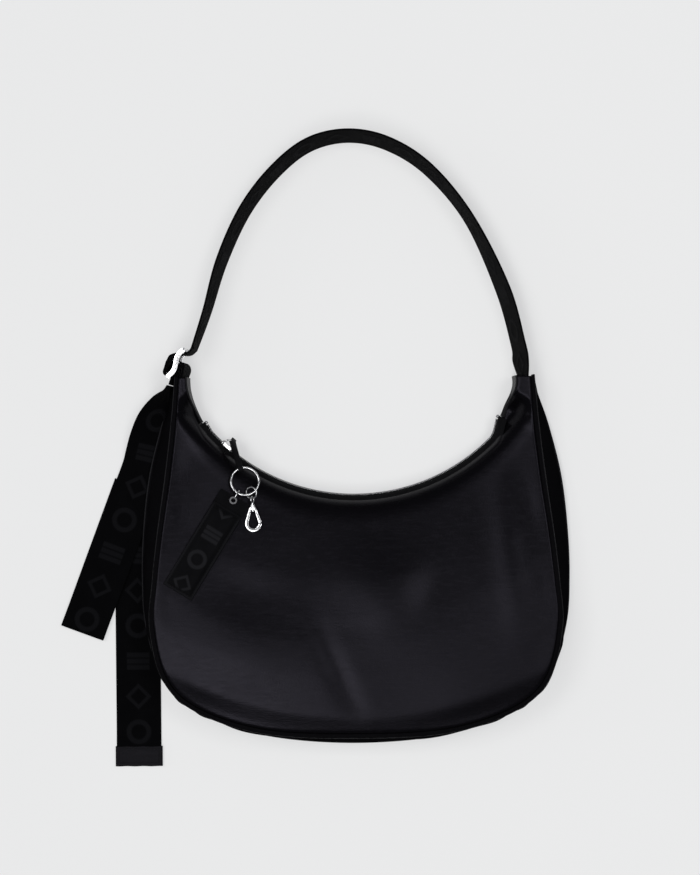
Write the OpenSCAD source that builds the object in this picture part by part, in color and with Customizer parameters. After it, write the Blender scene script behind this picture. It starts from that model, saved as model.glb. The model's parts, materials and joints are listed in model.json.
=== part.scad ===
// Crescent shoulder bag lying on its back, seen from the front.
// X runs across the bag, Y towards the crown of the strap, Z up from the back panel.

/* [Zip line] */
// Radius of the curve that the zip follows
zip_r = 163; // [158:0.5:167]
// Height of that curve's centre above the origin
zip_centre_y = 251.5; // [247:0.5:256]
// Height of the chain of teeth above the back panel
zip_z = 18; // [17:0.5:19]
// Share of the way from the middle of the zip to the tips that the chain takes
chain_share = 0.799; // [0.77:0.005:0.81]
// Where the slider is parked, as a share of the left half of the chain
slider_share = 0.804; // [0.79:0.005:0.82]

/* [Bag] */
// Half of the front panel's width
front_half_w = 168.5; // [165:0.5:172]
// Height of the front panel from its lowest point to its tips
front_h = 296.8; // [292:0.5:300]
// How far the front panel reaches below the origin
front_drop = 108.3; // [104:0.5:112]
// How far the back panel reaches past the front panel on either side
back_margin_w = 11.1; // [8.5:0.2:15.5]
// How far the back panel reaches below the origin
back_drop = 118.8; // [117:0.2:123]
// Height of the fullest part of the front panel
bag_depth = 54; // [53:0.5:56]
// Width of the mouth of the left tip
left_tip_w = 9; // [8.5:0.5:11]
// Width of the mouth of the right tip
right_tip_w = 14; // [12:0.5:15]
// Height of the back seam above the table
rim_lift = 9; // [8:0.5:10]
// Width of the sloping margin of the back panel
rim_w = 40; // [36:1:44]
// Thickness of the leather
leather_t = 1.4; // [1.2:0.1:1.5]
// Thickness of the lining
lining_t = 0.5; // [0.4:0.1:0.6]
// Width of the slip pocket inside
pocket_w = 150; // [120:5:170]
// Height of the slip pocket inside
pocket_h = 95; // [80:5:110]

/* [Zip] */
// Thickness of the zip tape
tape_t = 0.6; // [0.5:0.1:0.7]
// Width of the sloping part of each tape
tape_wing = 7; // [6:0.5:8]
// Spacing of the teeth on one tape
tooth_pitch = 2.5; // [2.4:0.1:3]
// Height of a tooth above its tape
tooth_h = 2; // [1.8:0.1:2.2]
// Length of the slider
slider_l = 12; // [11:0.5:13]
// Width of the slider
slider_w = 9; // [8.8:0.1:9.4]
// Wire of the bail on the slider
bail_wire = 1.4; // [1.2:0.1:1.6]
// Radius of the bail, middle of the wire
bail_r = 4.2; // [4:0.1:4.4]

/* [Strap] */
// Width of the webbing
webbing_w = 38; // [36:0.5:38]
// Thickness of the webbing
webbing_t = 1.6; // [1.3:0.1:1.7]
// Half of the arch's width between its two hinge points
arch_half_w = 135; // [132:0.5:138]
// Rise of the arch above its hinge line
arch_h = 177.5; // [170:0.5:190]
// Height of the hinge line above the tips
hinge_up = 27.5; // [27:0.5:31]
// Length of the end cap on the tail
end_cap_l = 17; // [15:0.5:20]

/* [Buckle] */
// Length of the strap slide
buckle_l = 28.7; // [28:0.1:30]
// Width of its edge as seen from above
buckle_edge = 4; // [3.6:0.1:4.2]
// Thickness of its two side plates
buckle_plate = 2.2; // [2:0.1:2.4]
// Diameter of its three bars
buckle_bar = 3.4; // [3.2:0.1:3.6]

/* [Ring and fob] */
// Outer diameter of the split ring
ring_d = 25; // [24.5:0.1:25.5]
// Wire of the split ring
ring_wire = 1.8; // [1.7:0.05:1.9]
// Wire of the two small links
link_wire = 1.2; // [1.1:0.05:1.3]
// Radius of the fob's link, middle of the wire
fob_link_r = 4.65; // [4.6:0.05:4.8]
// Radius of the clasp's link, middle of the wire
clasp_link_r = 4.8; // [4.7:0.05:4.9]
// Length of the padded fob
fob_l = 92; // [86:1:92]
// Width of the padded fob
fob_w = 27.3; // [24:0.1:27.5]
// Thickness of the fob in its middle
fob_t = 5.4; // [4.5:0.1:6.5]
// Bore of the fob's eyelet
eyelet_bore = 3.8; // [3.6:0.1:4]

/* [Clasp] */
// Length of the clasp's hook
hook_l = 20; // [19:0.5:21]
// Width of the clasp's hook
hook_w = 13.4; // [13:0.1:13.6]
// Thickness of the clasp's hook
hook_t = 3.6; // [3.4:0.1:3.8]
// Width of the metal round the hook's opening
hook_bar = 2.4; // [2.2:0.1:2.5]

/* [Hidden] */
$fn = 48;
// Clearance between pieces that lie on one another
gap = 0.3;
// Clearance between a pin and its bore
pin_gap = 0.05;
// Overrun of a cut beyond the face that it opens
over = 1;

leather = "#1b1a1e";
webbing = "#151417";
steel = "#c9c9cb";
cloth = "#2b2a30";

// Joined points

// Unit vector along v
function unit(v) = v / norm(v);
// Value between a and b
function mix(a, b, t) = a + (b - a) * t;
// Value held between two limits
function held(v, low, high) = max(low, min(high, v));
// Smooth curve through four neighbouring values
function curve(a, b, c, d, t) = b + (c - a) * t / 2
    + (2 * a - 5 * b + 4 * c - d) * t * t / 2 + (3 * b - a - 3 * c + d) * t * t * t / 2;
// Neighbour i of a list of half-outline points that is mirrored about its first one
function mirrored(list, i) = i < 0 ? [-list[-i].x, list[-i].y] : list[min(i, len(list) - 1)];
// Point at position s of a mirrored half outline
function half_outline(list, s) = let (i = min(floor(s), len(list) - 2))
    curve(mirrored(list, i - 1), mirrored(list, i), mirrored(list, i + 1),
        mirrored(list, i + 2), s - i);
// Neighbour i of an open list
function clamped(list, i) = list[held(i, 0, len(list) - 1)];
// Point at position s of an open list
function along(list, s) = let (i = held(floor(s), 0, len(list) - 2))
    curve(clamped(list, i - 1), clamped(list, i), clamped(list, i + 1), clamped(list, i + 2), s - i);
// Unit normal of a grid of points at one of its points
function grid_normal(g, i, j) = unit(cross(
    g[i][min(j + 1, len(g[0]) - 1)] - g[i][max(j - 1, 0)],
    g[min(i + 1, len(g) - 1)][j] - g[max(i - 1, 0)][j]));
// Grid moved along its normals
function moved(g, d) = [for (i = [0:len(g) - 1]) [for (j = [0:len(g[0]) - 1])
    g[i][j] + grid_normal(g, i, j) * d]];
// Grid moved straight up
function raised(g, d) = [for (col = g) [for (p = col) p + [0, 0, d]]];

// Closed solid between two grids of the same size
module sheet(a, b) {
    m = len(a);
    n = len(a[0]);
    back = m * n;
    faces_a = [for (i = [0:m - 2]) for (j = [0:n - 2]) let (k = i * n + j)
        each [[k, k + 1, k + n + 1], [k, k + n + 1, k + n]]];
    faces_b = [for (i = [0:m - 2]) for (j = [0:n - 2]) let (k = back + i * n + j)
        each [[k, k + n + 1, k + 1], [k, k + n, k + n + 1]]];
    ends = [for (j = [0:n - 2]) let (k = (m - 1) * n + j)
        each [[j, back + j, back + j + 1], [j, back + j + 1, j + 1],
            [k, k + 1, back + k + 1], [k, back + k + 1, back + k]]];
    sides = [for (i = [0:m - 2]) let (k = i * n, q = i * n + n - 1)
        each [[k, k + n, back + k + n], [k, back + k + n, back + k],
            [q, back + q, back + q + n], [q, back + q + n, q + n]]];
    i = floor((m - 1) / 2);
    j = floor((n - 1) / 2);
    inward = cross(a[i][j + 1] - a[i][j], a[i + 1][j] - a[i][j]) * (b[i][j] - a[i][j]) > 0;
    polyhedron(concat([for (c = a) each c], [for (c = b) each c]),
        [for (f = concat(faces_a, faces_b, ends, sides)) inward ? f : [f[2], f[1], f[0]]]);
}

// Closed tube through a loop of rings
module loop_tube(rings) {
    m = len(rings);
    n = len(rings[0]);
    polyhedron([for (r = rings) each r],
        [for (i = [0:m - 1]) for (j = [0:n - 1])
            let (k = i * n, q = ((i + 1) % m) * n, e = (j + 1) % n)
            each [[k + j, k + e, q + e], [k + j, q + e, q + j]]]);
}

// The zip's curve

// Point at a radius and an angle round the centre of the zip's curve
function on_arc(r, a, z) = [r * sin(a), zip_centre_y - r * cos(a), z];
// Frame on that curve: X along it to the right, Y towards its centre
module at_arc(a, r, z) translate(on_arc(r, a, z)) rotate(a) children();

// Outlines

// Front seam, from the lowest point to the tip
front_seam_shares = [[0, 0], [0.447, 0.0127], [0.771, 0.071], [0.935, 0.158], [0.999, 0.305],
    [0.985, 0.4287], [0.959, 0.562], [0.9235, 0.71], [0.893, 0.87], [0.877, 1]];
// Back seam, from the lowest point to the tip
back_seam_shares = [[0, 0], [0.432, 0.0224], [0.744, 0.0885], [0.904, 0.177], [0.983, 0.32],
    [1, 0.45], [0.993, 0.585], [0.965, 0.73], [0.905, 0.87], [0.832, 1]];
// Height of the front panel against the distance from the zip
front_rise_shares = [[0, 0.42], [0.015, 0.51], [0.025, 0.575], [0.05, 0.665], [0.1, 0.722],
    [0.2, 0.78], [0.355, 0.85], [0.51, 0.905], [0.62, 0.925], [0.76, 0.99], [0.88, 1], [1, 0.93]];
// Height of the back panel against the distance from the zip
back_rise_shares = [[0, 0.5], [0.015, 0.43], [0.03, 0.3], [0.06, 0.17], [0.12, 0.05], [0.2, 0], [1, 0]];
// Rows of the panels, from the zip to the seam
row_shares = [0, 0.012, 0.04, 0.1, 0.22, 0.4, 0.6, 0.78, 0.9, 1];
back_row_shares = [0, 0.02, 0.06, 0.14, 0.3, 0.6, 0.82, 1];

last_knot = len(front_seam_shares) - 1;
back_half_w = front_half_w + back_margin_w;
tip_depth = webbing_w + 2 * leather_t + 3 * gap;
tip_y = front_h - front_drop;
tip_x = front_half_w * front_seam_shares[last_knot].x;
panel_depth = zip_centre_y + front_drop - zip_r;
panel_edge = tape_wing * 3 / 7;
function tip_in(side) = [tip_x - (side < 0 ? left_tip_w : right_tip_w), tip_y];
function tip_in_r(side) = norm([tip_in(side).x, zip_centre_y - tip_y]);
function tip_in_angle(side) = atan2(tip_in(side).x, zip_centre_y - tip_y);
zip_half_angle = chain_share * tip_in_angle(1);
slider_angle = -slider_share * zip_half_angle;
hinge_y = tip_y + hinge_up;
tip_angle = atan2(tip_x, zip_centre_y - tip_y);

// Front seam at position s, from minus last_knot at the left tip
function front_seam(s) = let (q = half_outline(front_seam_shares, abs(s)))
    [sign(s) * q.x * front_half_w, q.y * front_h - front_drop];
// Back seam at position s
function back_seam(s) = let (q = half_outline(back_seam_shares, abs(s)))
    [sign(s) * q.x * back_half_w, q.y * (tip_y + back_drop) - back_drop];
// Radius of the panels' inner edge at an angle
function inner_r(a) = let (w = held((abs(a) - zip_half_angle) / (tip_in_angle(a) - zip_half_angle), 0, 1))
    mix(zip_r + panel_edge, tip_in_r(a), pow(w, 1.5));
// Angle of a point round the centre of the zip's curve
function arc_angle(p) = atan2(p.x, zip_centre_y - p.y);
// Inner edge of the panels opposite a point of the seam
function inner_edge(p) = let (a = arc_angle(p) * tip_in_angle(p.x) / tip_angle,
    q = on_arc(inner_r(a), a, 0)) [q.x, q.y];
// Share of the way into a tip
tip_power = 2;
tip_from = 3;
tip_full = 4;
function tip_share(p) = pow(held((abs(arc_angle(p)) - zip_half_angle - tip_from)
    / (tip_in_angle(p.x) - zip_half_angle - tip_from - tip_full), 0, 1), tip_power);
// Height of the front panel at a point
function front_z(p) = let (s = (norm([p.x, zip_centre_y - p.y]) - zip_r) / panel_depth)
    mix(lookup(s, front_rise_shares) * bag_depth, tip_depth, tip_share(p));
// Height of the outer face of the back panel at a point with a share of the way to the seam
function back_z(p, from_seam) = let (s = (norm([p.x, zip_centre_y - p.y]) - zip_r) / panel_depth)
    mix(max(lookup(s, back_rise_shares) * zip_z, rim_lift * held(1 - from_seam / rim_w, 0, 1)),
        gap, tip_share(p));
back_inset = 1.6;
// Columns of the panels
columns = [for (i = [0:36]) (i - 18) / 2];
front_grid = [for (s = columns * last_knot / 9) let (q = front_seam(s), e = inner_edge(q))
    [for (v = row_shares) let (p = mix(e, q, v)) [p.x, p.y, front_z(p)]]];
back_grid = [for (s = columns * last_knot / 9)
    let (q = back_seam(s), u = unit(q - [0, zip_centre_y]) * (leather_t + back_inset), o = q - u, e = inner_edge(o))
    [for (v = back_row_shares) let (p = mix(e, o, v)) [p.x, p.y, back_z(p, norm(o - p))]]];

module front_panel() color(leather) sheet(front_grid, moved(front_grid, -leather_t));
module back_panel() color(leather) sheet(raised(back_grid, leather_t), back_grid);

// Gusset, with its two turned edges standing outside the panels
gusset_shares = [0, 0.06, 0.3, 0.6, 0.92, 1];
gusset_bulge = 2;
gusset_grid = [for (s = columns * last_knot / 9)
    let (f = front_seam(s), b = back_seam(s), n = unit(f - [0, zip_centre_y / 4]),
        top = front_grid[round((s * 9 / last_knot + 9) * 2)][len(row_shares) - 1].z,
        low = mix(rim_lift, gap, tip_share(f)))
    [for (v = gusset_shares) let (p = mix(f + n * (leather_t + gap), b, v) + n * gusset_bulge * sin(180 * v))
        [p.x, p.y, mix(top, low, v)]]];
module gusset() color(leather) sheet(gusset_grid, moved(gusset_grid, -leather_t));

// Lining, one leaf under each panel and one inside the gusset
lining_gap = leather_t + 2 * gap;
tip_columns = 3;
function inside(g, first, last) = [for (i = [tip_columns:len(g) - 1 - tip_columns]) [for (j = [first:last]) g[i][j]]];
lining_front_grid = inside(moved(front_grid, -lining_gap), 2, len(row_shares) - 2);
lining_back_grid = inside(raised(back_grid, lining_gap), 3, len(back_row_shares) - 2);
lining_side_grid = inside(moved(gusset_grid, -lining_gap), 2, len(gusset_shares) - 3);
module lining_front() color(cloth) sheet(lining_front_grid, raised(lining_front_grid, -lining_t));
module lining_back() color(cloth) sheet(raised(lining_back_grid, lining_t), lining_back_grid);
module lining_side() color(cloth) sheet(lining_side_grid, moved(lining_side_grid, -lining_t));

// Slip pocket on the back lining
pocket_y = 30;
module inner_pocket() color(cloth)
    translate([-pocket_w / 2, pocket_y - pocket_h, lining_gap + lining_t + 2 * gap])
        cube([pocket_w, pocket_h, 2 * lining_t]);

// Zip tapes: a flat strip behind the teeth and a wing that goes in under the panel's edge
tape_flat = slider_w / 2 - gap / 3;
tape_inner = 1.3;
wing_rise = tape_wing * 0.94;
module zip_sweep() translate([0, zip_centre_y, zip_z]) rotate(-90 - zip_half_angle)
    rotate_extrude(angle = 2 * zip_half_angle, $fn = 180) children();
module tape_profile() translate([zip_r, 0]) polygon([
    [-tape_t / 2, tape_inner], [tape_t / 2, tape_inner], [tape_t / 2, tape_flat - tape_t / 4],
    [tape_wing, tape_flat + wing_rise - tape_t], [tape_wing, tape_flat + wing_rise],
    [-tape_t / 2, tape_flat]]);
module zipper_tape_front() color("#1d1c20") zip_sweep() tape_profile();
module zipper_tape_back() color("#1d1c20") zip_sweep() mirror([0, 1]) tape_profile();

// Teeth: closed to the right of the slider, apart to its left
tooth_w = tooth_pitch * 0.42;
tooth_reach = 2.6;
tooth_lap = 1;
teeth = floor(2 * zip_half_angle * PI * zip_r / 180 / tooth_pitch) - 2;
tooth_step = tooth_pitch / zip_r * 180 / PI;
function tooth_angle(i, side) = (i - teeth / 2 + (side > 0 ? 0.25 : 0.75)) * tooth_step;
module tooth_row(side) for (i = [0:teeth - 1]) {
    a = tooth_angle(i, side);
    root = a < slider_angle ? tape_inner : -tooth_lap;
    translate(on_arc(zip_r - tape_t / 2 - gap / 10, a, zip_z)) rotate(a) mirror([0, 0, side > 0 ? 0 : 1])
        translate([-tooth_w / 2, 0, root]) cube([tooth_w, tooth_h, tooth_reach - root]);
}
module zipper_teeth_front() color("#6f6f73") tooth_row(1);
module zipper_teeth_back() color("#6f6f73") tooth_row(-1);
stop_l = 2.4;
module zipper_stops() color(steel) for (end = [-1, 1], side = [-1, 1])
    at_arc(end * (zip_half_angle - stop_l / zip_r * 30), zip_r - tape_t / 2 - gap / 10, zip_z)
        mirror([0, 0, side > 0 ? 0 : 1]) translate([-stop_l / 2, 0, tape_inner])
            cube([stop_l, tooth_h, tooth_reach - tape_inner]);

// Tip covers: folded leather from the end of the zip to the mouth of the tip
cover_steps = 8;
cover_inset = 1;
cover_bulge = 3;
cover_low = 0.43;
function cover_grid(side) = [for (i = [0:cover_steps])
    let (a = mix(zip_half_angle + 0.4, tip_in_angle(side), i / cover_steps) * side,
        w = pow(i / cover_steps, 1.5), r = inner_r(a) - mix(cover_inset, leather_t, w),
        p = on_arc(r, a, 0), top = front_z(on_arc(inner_r(a), a, 0)),
        low = mix(cover_low * zip_z, gap, w))
    [for (v = [0, 0.25, 0.5, 0.75, 1]) [p.x, p.y, mix(low, top, v)]
        + (on_arc(1, a, 0) - on_arc(0, 0, 0)) * -mix(cover_bulge, 2 * gap, w) * sin(180 * v)]];
module tip_cover(side) {
    g = cover_grid(side);
    color(leather) sheet(side > 0 ? moved(g, -leather_t / 2) : moved(g, leather_t / 2),
        side > 0 ? moved(g, leather_t / 2) : moved(g, -leather_t / 2));
}
module tip_cover_left() tip_cover(-1);
module tip_cover_right() tip_cover(1);

// Webbing

// Sections of webbing: each is [x, y, z, lean], with the lean from upright towards the left of travel
function web_side(list, s) = let (d = along(list, s + 0.05) - along(list, s - 0.05), t = unit([d.x, d.y]))
    [-t.y, t.x, 0];
function web_up(list, s) = let (q = along(list, s)) web_side(list, s) * sin(q[3]) + [0, 0, cos(q[3])];
function web_face(list, s) = let (q = along(list, s)) web_side(list, s) * cos(q[3]) - [0, 0, sin(q[3])];
function web_grid(list, steps, first, last, off) = [for (k = [0:steps])
    let (s = mix(first, last, k / steps), q = along(list, s), c = [q.x, q.y, q.z])
    [for (v = [-0.5, 0.5]) c + web_up(list, s) * webbing_w * v + web_face(list, s) * off]];
module webbing_strip(list, steps, first = 0, last = undef) {
    end = is_undef(last) ? len(list) - 1 : last;
    color(webbing) sheet(web_grid(list, steps, first, end, -webbing_t / 2),
        web_grid(list, steps, first, end, webbing_t / 2));
}

// Height of the slide, and of the webbing's middle line between its side plates
buckle_low = gap;
loop_z = buckle_low + buckle_plate + gap + webbing_w / 2;
// Height of the webbing's middle line where it stands on the table with a lean
function standing(lean) = webbing_w / 2 * cos(lean) + webbing_t / 2 * sin(abs(lean)) + gap;
// Arch from the right hinge point over the crown to the left one: x, y shares and lean
arch_shares = [[1.022, 0, -13], [0.928, 0.26, -13], [0.722, 0.593, -7.5], [0.474, 0.826, -8.5],
    [0.222, 0.951, -9], [-0.03, 0.992, -9], [-0.275, 0.951, -10], [-0.487, 0.826, -10.5],
    [-0.677, 0.64, -10.5], [-0.823, 0.402, -9.5], [-0.916, 0.165, -6], [-0.989, 0, -3]];
arch = [for (i = [0:len(arch_shares) - 1]) let (q = arch_shares[i]) [q.x * arch_half_w, hinge_y + q.y * arch_h,
    i < len(arch_shares) - 1 ? standing(q.z) : loop_z, q.z]];
function heading(a, b) = unit([b.x - a.x, b.y - a.y]);
module shoulder_strap() webbing_strip(arch, 44);

// Webbing from the mouth of the right tip to the hinge line
root_in = 5;
web_z = tip_depth / 2 + gap / 2;
mouth_x = tip_x - right_tip_w / 2;
root_dir = heading(arch[0], arch[1]);
root_end = 5;
root_right = [[mouth_x - 3 * gap, tip_y - root_in, web_z, -6], [mouth_x, tip_y + gap, web_z, -8],
    [mix(mouth_x, arch[0].x, 0.5), mix(tip_y, hinge_y, 0.5), mix(web_z, arch[0].z, 0.5), -15],
    [arch[0].x - root_dir.x * root_end, hinge_y - root_dir.y * root_end, arch[0].z, arch[0][3]],
    [arch[0].x - root_dir.x * 2 * gap, hinge_y - root_dir.y * 2 * gap, arch[0].z, arch[0][3]]];
module strap_root_right() webbing_strip(root_right, 9);

// Strap slide, seen edge-on, with its bars upright
buckle_out = 0.7;
buckle_up = 12.5;
buckle_x = -tip_x - buckle_out;
buckle_y = tip_y + buckle_up;
buckle_turn = 60.3;
buckle_inside = webbing_w + 2 * gap;
buckle_h = buckle_inside + 2 * buckle_plate;
bar_out = buckle_l / 2 - buckle_edge / 2;
wave = 1.5;
function s_curve(x) = wave * sin(180 * x / bar_out);
module at_buckle() translate([buckle_x, buckle_y, 0]) rotate(buckle_turn) children();
module side_plate(z) translate([0, 0, z]) linear_extrude(buckle_plate) union() {
    polygon(concat([for (i = [-12:12]) let (x = i / 12 * bar_out) [x, s_curve(x) + buckle_edge / 2]],
        [for (i = [12:-1:-12]) let (x = i / 12 * bar_out) [x, s_curve(x) - buckle_edge / 2]]));
    for (side = [-1, 1]) translate([side * bar_out, 0]) circle(d = buckle_edge);
}
module slide_buckle() color(steel) at_buckle() {
    side_plate(buckle_low);
    side_plate(buckle_low + buckle_h - buckle_plate);
    for (x = [-bar_out, 0, bar_out]) translate([x, 0, buckle_low]) cylinder(d = buckle_bar, h = buckle_h);
}

// Fixed loop of webbing from the left tip round the middle bar
loop_r = buckle_bar / 2 + gap + webbing_t / 2;
loop_apart = webbing_t / 2 + gap / 2;
loop_from = [left_tip_w / 2 - tip_x, tip_y - root_in];
loop_turn = atan2(buckle_y - tip_y, buckle_x - loop_from.x);
function loop_leg(side) = [
    [loop_from.x + side * loop_apart, loop_from.y, web_z, 0],
    [loop_from.x + side * (loop_apart + gap), tip_y, web_z, 0]];
loop_path = concat(loop_leg(1),
    [for (i = [0:6]) let (a = loop_turn - 90 + i * 30)
        [buckle_x + loop_r * cos(a), buckle_y + loop_r * sin(a), loop_z, 0]],
    [loop_leg(-1)[1], loop_leg(-1)[0]]);
module buckle_loop() webbing_strip(loop_path, 40);

// Webbing through the slide: in at the top slot, round the left and out at the lower slot.
// Places are shares of the webbing's width, from the middle of the slide.
wrap_shares = [[0.1542, 0.2025], [0.0392, 0.2105], [-0.1188, 0.1655], [-0.185, 0.0395], [-0.232, -0.1055],
    [-0.2558, -0.2005], [-0.1848, -0.2025], [-0.1168, -0.2215], [-0.0878, -0.2785], [-0.1248, -0.3505],
    [-0.2138, -0.4005], [-0.3038, -0.4735]];
wrap = [for (q = wrap_shares) [buckle_x + q.x * webbing_w, buckle_y + q.y * webbing_w, loop_z, 0]];
module strap_wrap() webbing_strip(wrap, 44);
arch_foot = arch[len(arch) - 1];
foot_dir = heading(arch[len(arch) - 2], arch_foot);
wrap_dir = heading(wrap[0], wrap[1]);
root_a = [arch_foot.x, arch_foot.y] + foot_dir * 2 * gap;
root_c = [wrap[0].x, wrap[0].y] - wrap_dir * 2 * gap;
root_b = root_a + foot_dir * (root_a.y - root_c.y) / -foot_dir.y;
root_left = [for (i = [0:4]) let (t = i / 4, q = mix(mix(root_a, root_b, t), mix(root_b, root_c, t), t))
    [q.x, q.y, loop_z, mix(arch_foot[3], 0, t)]];
module strap_root_left() webbing_strip(root_left, 16);

// Loose tail: upright at the slide, laid flat, folded back under itself and folded down again
function layer_z(n) = gap + webbing_t / 2 + n * (webbing_t + gap);
tail_shares = [[-0.3118, -0.4815, 0.57, -2], [-0.4298, -0.6715, 0.547, -12], [-0.5538, -0.9345, 0.479, -25],
    [-0.6848, -1.3155, 0.4, -42], [-0.7638, -1.6575, 0.234, -66], [-0.7898, -2.0265, 0.147, -82],
    [-0.8878, -2.4215, 0.129, -90], [-1.3248, -3.6055, 0.129, -90], [-2.1898, -5.9425, 0.129, -90]];
tail = [for (q = tail_shares) [buckle_x + q.x * webbing_w, buckle_y + q.y * webbing_w, q.z * webbing_w, q[3]]];
fold_one_share = [-2.1898, -5.9425];
fold_one_turn = -20.4;
fold_two_share = [-0.9768, -2.6655];
fold_two_turn = -10.2;
tail_end_share = [-0.9528, -8.9695];
cap_lift = 0.8;
fold_one = [buckle_x, buckle_y] + fold_one_share * webbing_w;
fold_two = [buckle_x, buckle_y] + fold_two_share * webbing_w;
tail_end = [buckle_x, buckle_y] + tail_end_share * webbing_w;
fold_two_half = webbing_w / 2 / cos(fold_two_turn);
fold_r = (webbing_t + gap) / 2;
// Sections of flat webbing: each is its middle, half of its width as a vector, and its face
function flat_section(x, y, z, turn, half, face) = [[x, y, z], [cos(turn), sin(turn), 0] * half, [0, 0, face]];
function folded(centre, turn, half, level, from, to, face) = [for (i = [0:6])
    let (a = mix(from, to, i / 6), out = [-sin(turn) * cos(a), cos(turn) * cos(a), sin(a)])
    [[centre.x, centre.y, layer_z(level) + fold_r] + out * fold_r, [cos(turn), sin(turn), 0] * half, out * face]];
return_sections = concat(
    folded(fold_one, fold_one_turn, webbing_w / 2, 1, 90, 270, 1),
    folded(fold_two, fold_two_turn, fold_two_half, 0, 90, -90, -1),
    [for (q = [[2 * end_cap_l, 0], [end_cap_l, cap_lift], [gap + webbing_t, cap_lift]])
        flat_section(tail_end.x, tail_end.y + q.x, layer_z(0) + q.y, 0, webbing_w / 2, 1)]);
function return_grid(off) = [for (q = return_sections) [for (side = [-1, 1]) q[0] + q[1] * side + q[2] * off]];
module strap_tail() webbing_strip(tail, 34, 0, len(tail) - 1 - gap / webbing_w);
module strap_tail_return() color(webbing) sheet(return_grid(-webbing_t / 2), return_grid(webbing_t / 2));
cap_wall = 0.9;
module strap_end_cap() color(leather) translate([tail_end.x, tail_end.y, layer_z(0) + cap_lift]) difference() {
    translate([-webbing_w / 2 - cap_wall, 0, -webbing_t / 2 - cap_wall])
        cube([webbing_w + 2 * cap_wall, end_cap_l, webbing_t + 2 * cap_wall]);
    translate([-webbing_w / 2 - gap / 3, webbing_t, -webbing_t / 2 - gap / 3])
        cube([webbing_w + 2 * gap / 3, end_cap_l + over, webbing_t + 2 * gap / 3]);
}

// Slider, in a frame with X along the chain, Y out of the bag and Z across the chain
plate_t = 1.2;
channel_top = tape_t / 2 + tooth_h + gap + gap / 3;
plate_top = channel_top + plate_t;
channel_low = -tape_t / 2 - gap * 3;
flange_t = 1.2;
post_w = 1.8;
module at_slider() at_arc(slider_angle, zip_r, zip_z) children();
module rounded(l, w, r) union() {
    square([l - 2 * r, w], center = true);
    square([l, w - 2 * r], center = true);
    for (x = [-1, 1], y = [-1, 1]) translate([x * (l / 2 - r), y * (w / 2 - r)]) circle(r);
}
module slider_plate(y, t, w) translate([0, y, 0]) rotate([90, 0, 0]) linear_extrude(t) rounded(slider_l, w, w / 4);
module slider_body() color(steel) at_slider() {
    slider_plate(plate_top, plate_t, slider_w);
    slider_plate(channel_low, plate_t, slider_w - 2 * plate_t);
    for (side = [-1, 1]) translate([-slider_l / 2 + slider_w / 4, tape_t / 2 + gap, side > 0 ? slider_w / 2 - flange_t : -slider_w / 2])
        cube([slider_l - slider_w / 2, channel_top - tape_t / 2 - gap, flange_t]);
    translate([-slider_l / 2 + gap, channel_low, -post_w / 2])
        cube([slider_l / 4, channel_top - channel_low, post_w]);
}
module slider_bail() color(steel) at_slider() translate([0, plate_top, 0])
    rotate_extrude(angle = 180) translate([bail_r, 0]) circle(d = bail_wire);

// Split ring, lying tilted over the edge of the bag
hang_share = 0.609;
hang_angle = -hang_share * zip_half_angle;
ring_reach = 12.4;
ring_z = 43.5;
ring_tilt = 14;
ring_mid = (ring_d - ring_wire) / 2;
ring_turns = ring_wire * 0.475;
ring_c = on_arc(zip_r + ring_reach, hang_angle, ring_z);
ring_x = [cos(hang_angle), sin(hang_angle), 0];
ring_y = [-sin(hang_angle) * cos(ring_tilt), cos(hang_angle) * cos(ring_tilt), -sin(ring_tilt)];
ring_n = cross(ring_x, ring_y);
function ring_point(d, a) = ring_c + ring_x * d * cos(a) + ring_y * d * sin(a);
module at_ring() at_arc(hang_angle, zip_r + ring_reach, ring_z) rotate([-ring_tilt, 0, 0]) children();
ring_slit = 0.4;
module split_ring() color(steel) at_ring() difference() {
    rotate_extrude($fn = 72) for (side = [-1, 1]) translate([ring_mid, side * ring_turns]) circle(d = ring_wire, $fn = 24);
    for (end = [-1, 1]) rotate(200 + end * 14) translate([ring_mid - ring_wire, 0, end > 0 ? 0 : -2 * ring_wire])
        cube([2 * ring_wire, ring_slit, 2 * ring_wire]);
}

// Leather pull: a closed loop through the bail and the split ring, twisting on its way
pull_w = 4.4;
pull_t = 1;
pull_rise = 12;
bail_top = on_arc(zip_r - plate_top - bail_r, slider_angle, zip_z);
pull_grip = 140.3;
pull_end = ring_point(ring_mid, pull_grip);
bail_dir = [cos(slider_angle), sin(slider_angle), 0];
grip_dir = ring_x * sin(pull_grip) - ring_y * cos(pull_grip);
pull_bend = bail_top + [0, 0, pull_rise];
function pull_mid(q) = mix(mix(bail_top, pull_bend, q), mix(pull_bend, pull_end, q), q);
function pull_dir(q) = unit(mix(pull_bend - bail_top, pull_end - pull_bend, q));
function pull_side(q) = let (w = unit(mix(bail_dir, grip_dir, q)), d = pull_dir(q)) unit(w - d * (w * d));
function pull_out(q) = cross(pull_dir(q), pull_side(q));
pull_slack = 0.5;
pull_waist = 1.2;
bail_hold = bail_wire / 2 + gap + pull_t / 2 + pull_slack;
grip_hold = norm([ring_wire / 2, ring_turns + ring_wire / 2]) + gap + pull_t / 2;
function pull_half(q) = mix(bail_hold, grip_hold, q) - pull_waist * sin(180 * q);
function pull_section(q, out, back) = let (c = pull_mid(q), u = pull_out(q) * cos(out) + pull_dir(q) * sin(out),
    h = pull_half(q), w = pull_side(q) * pull_w / 2)
    [c + u * (h - pull_t / 2) - w, c + u * (h - pull_t / 2) + w, c + u * (h + pull_t / 2) + w, c + u * (h + pull_t / 2) - w];
pull_rings = concat([for (i = [0:8]) pull_section(i / 8, 0)], [for (i = [1:5]) pull_section(1, i * 30)],
    [for (i = [8:-1:0]) pull_section(i / 8, 180)], [for (i = [1:5]) pull_section(0, 180 + i * 30)]);
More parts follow.
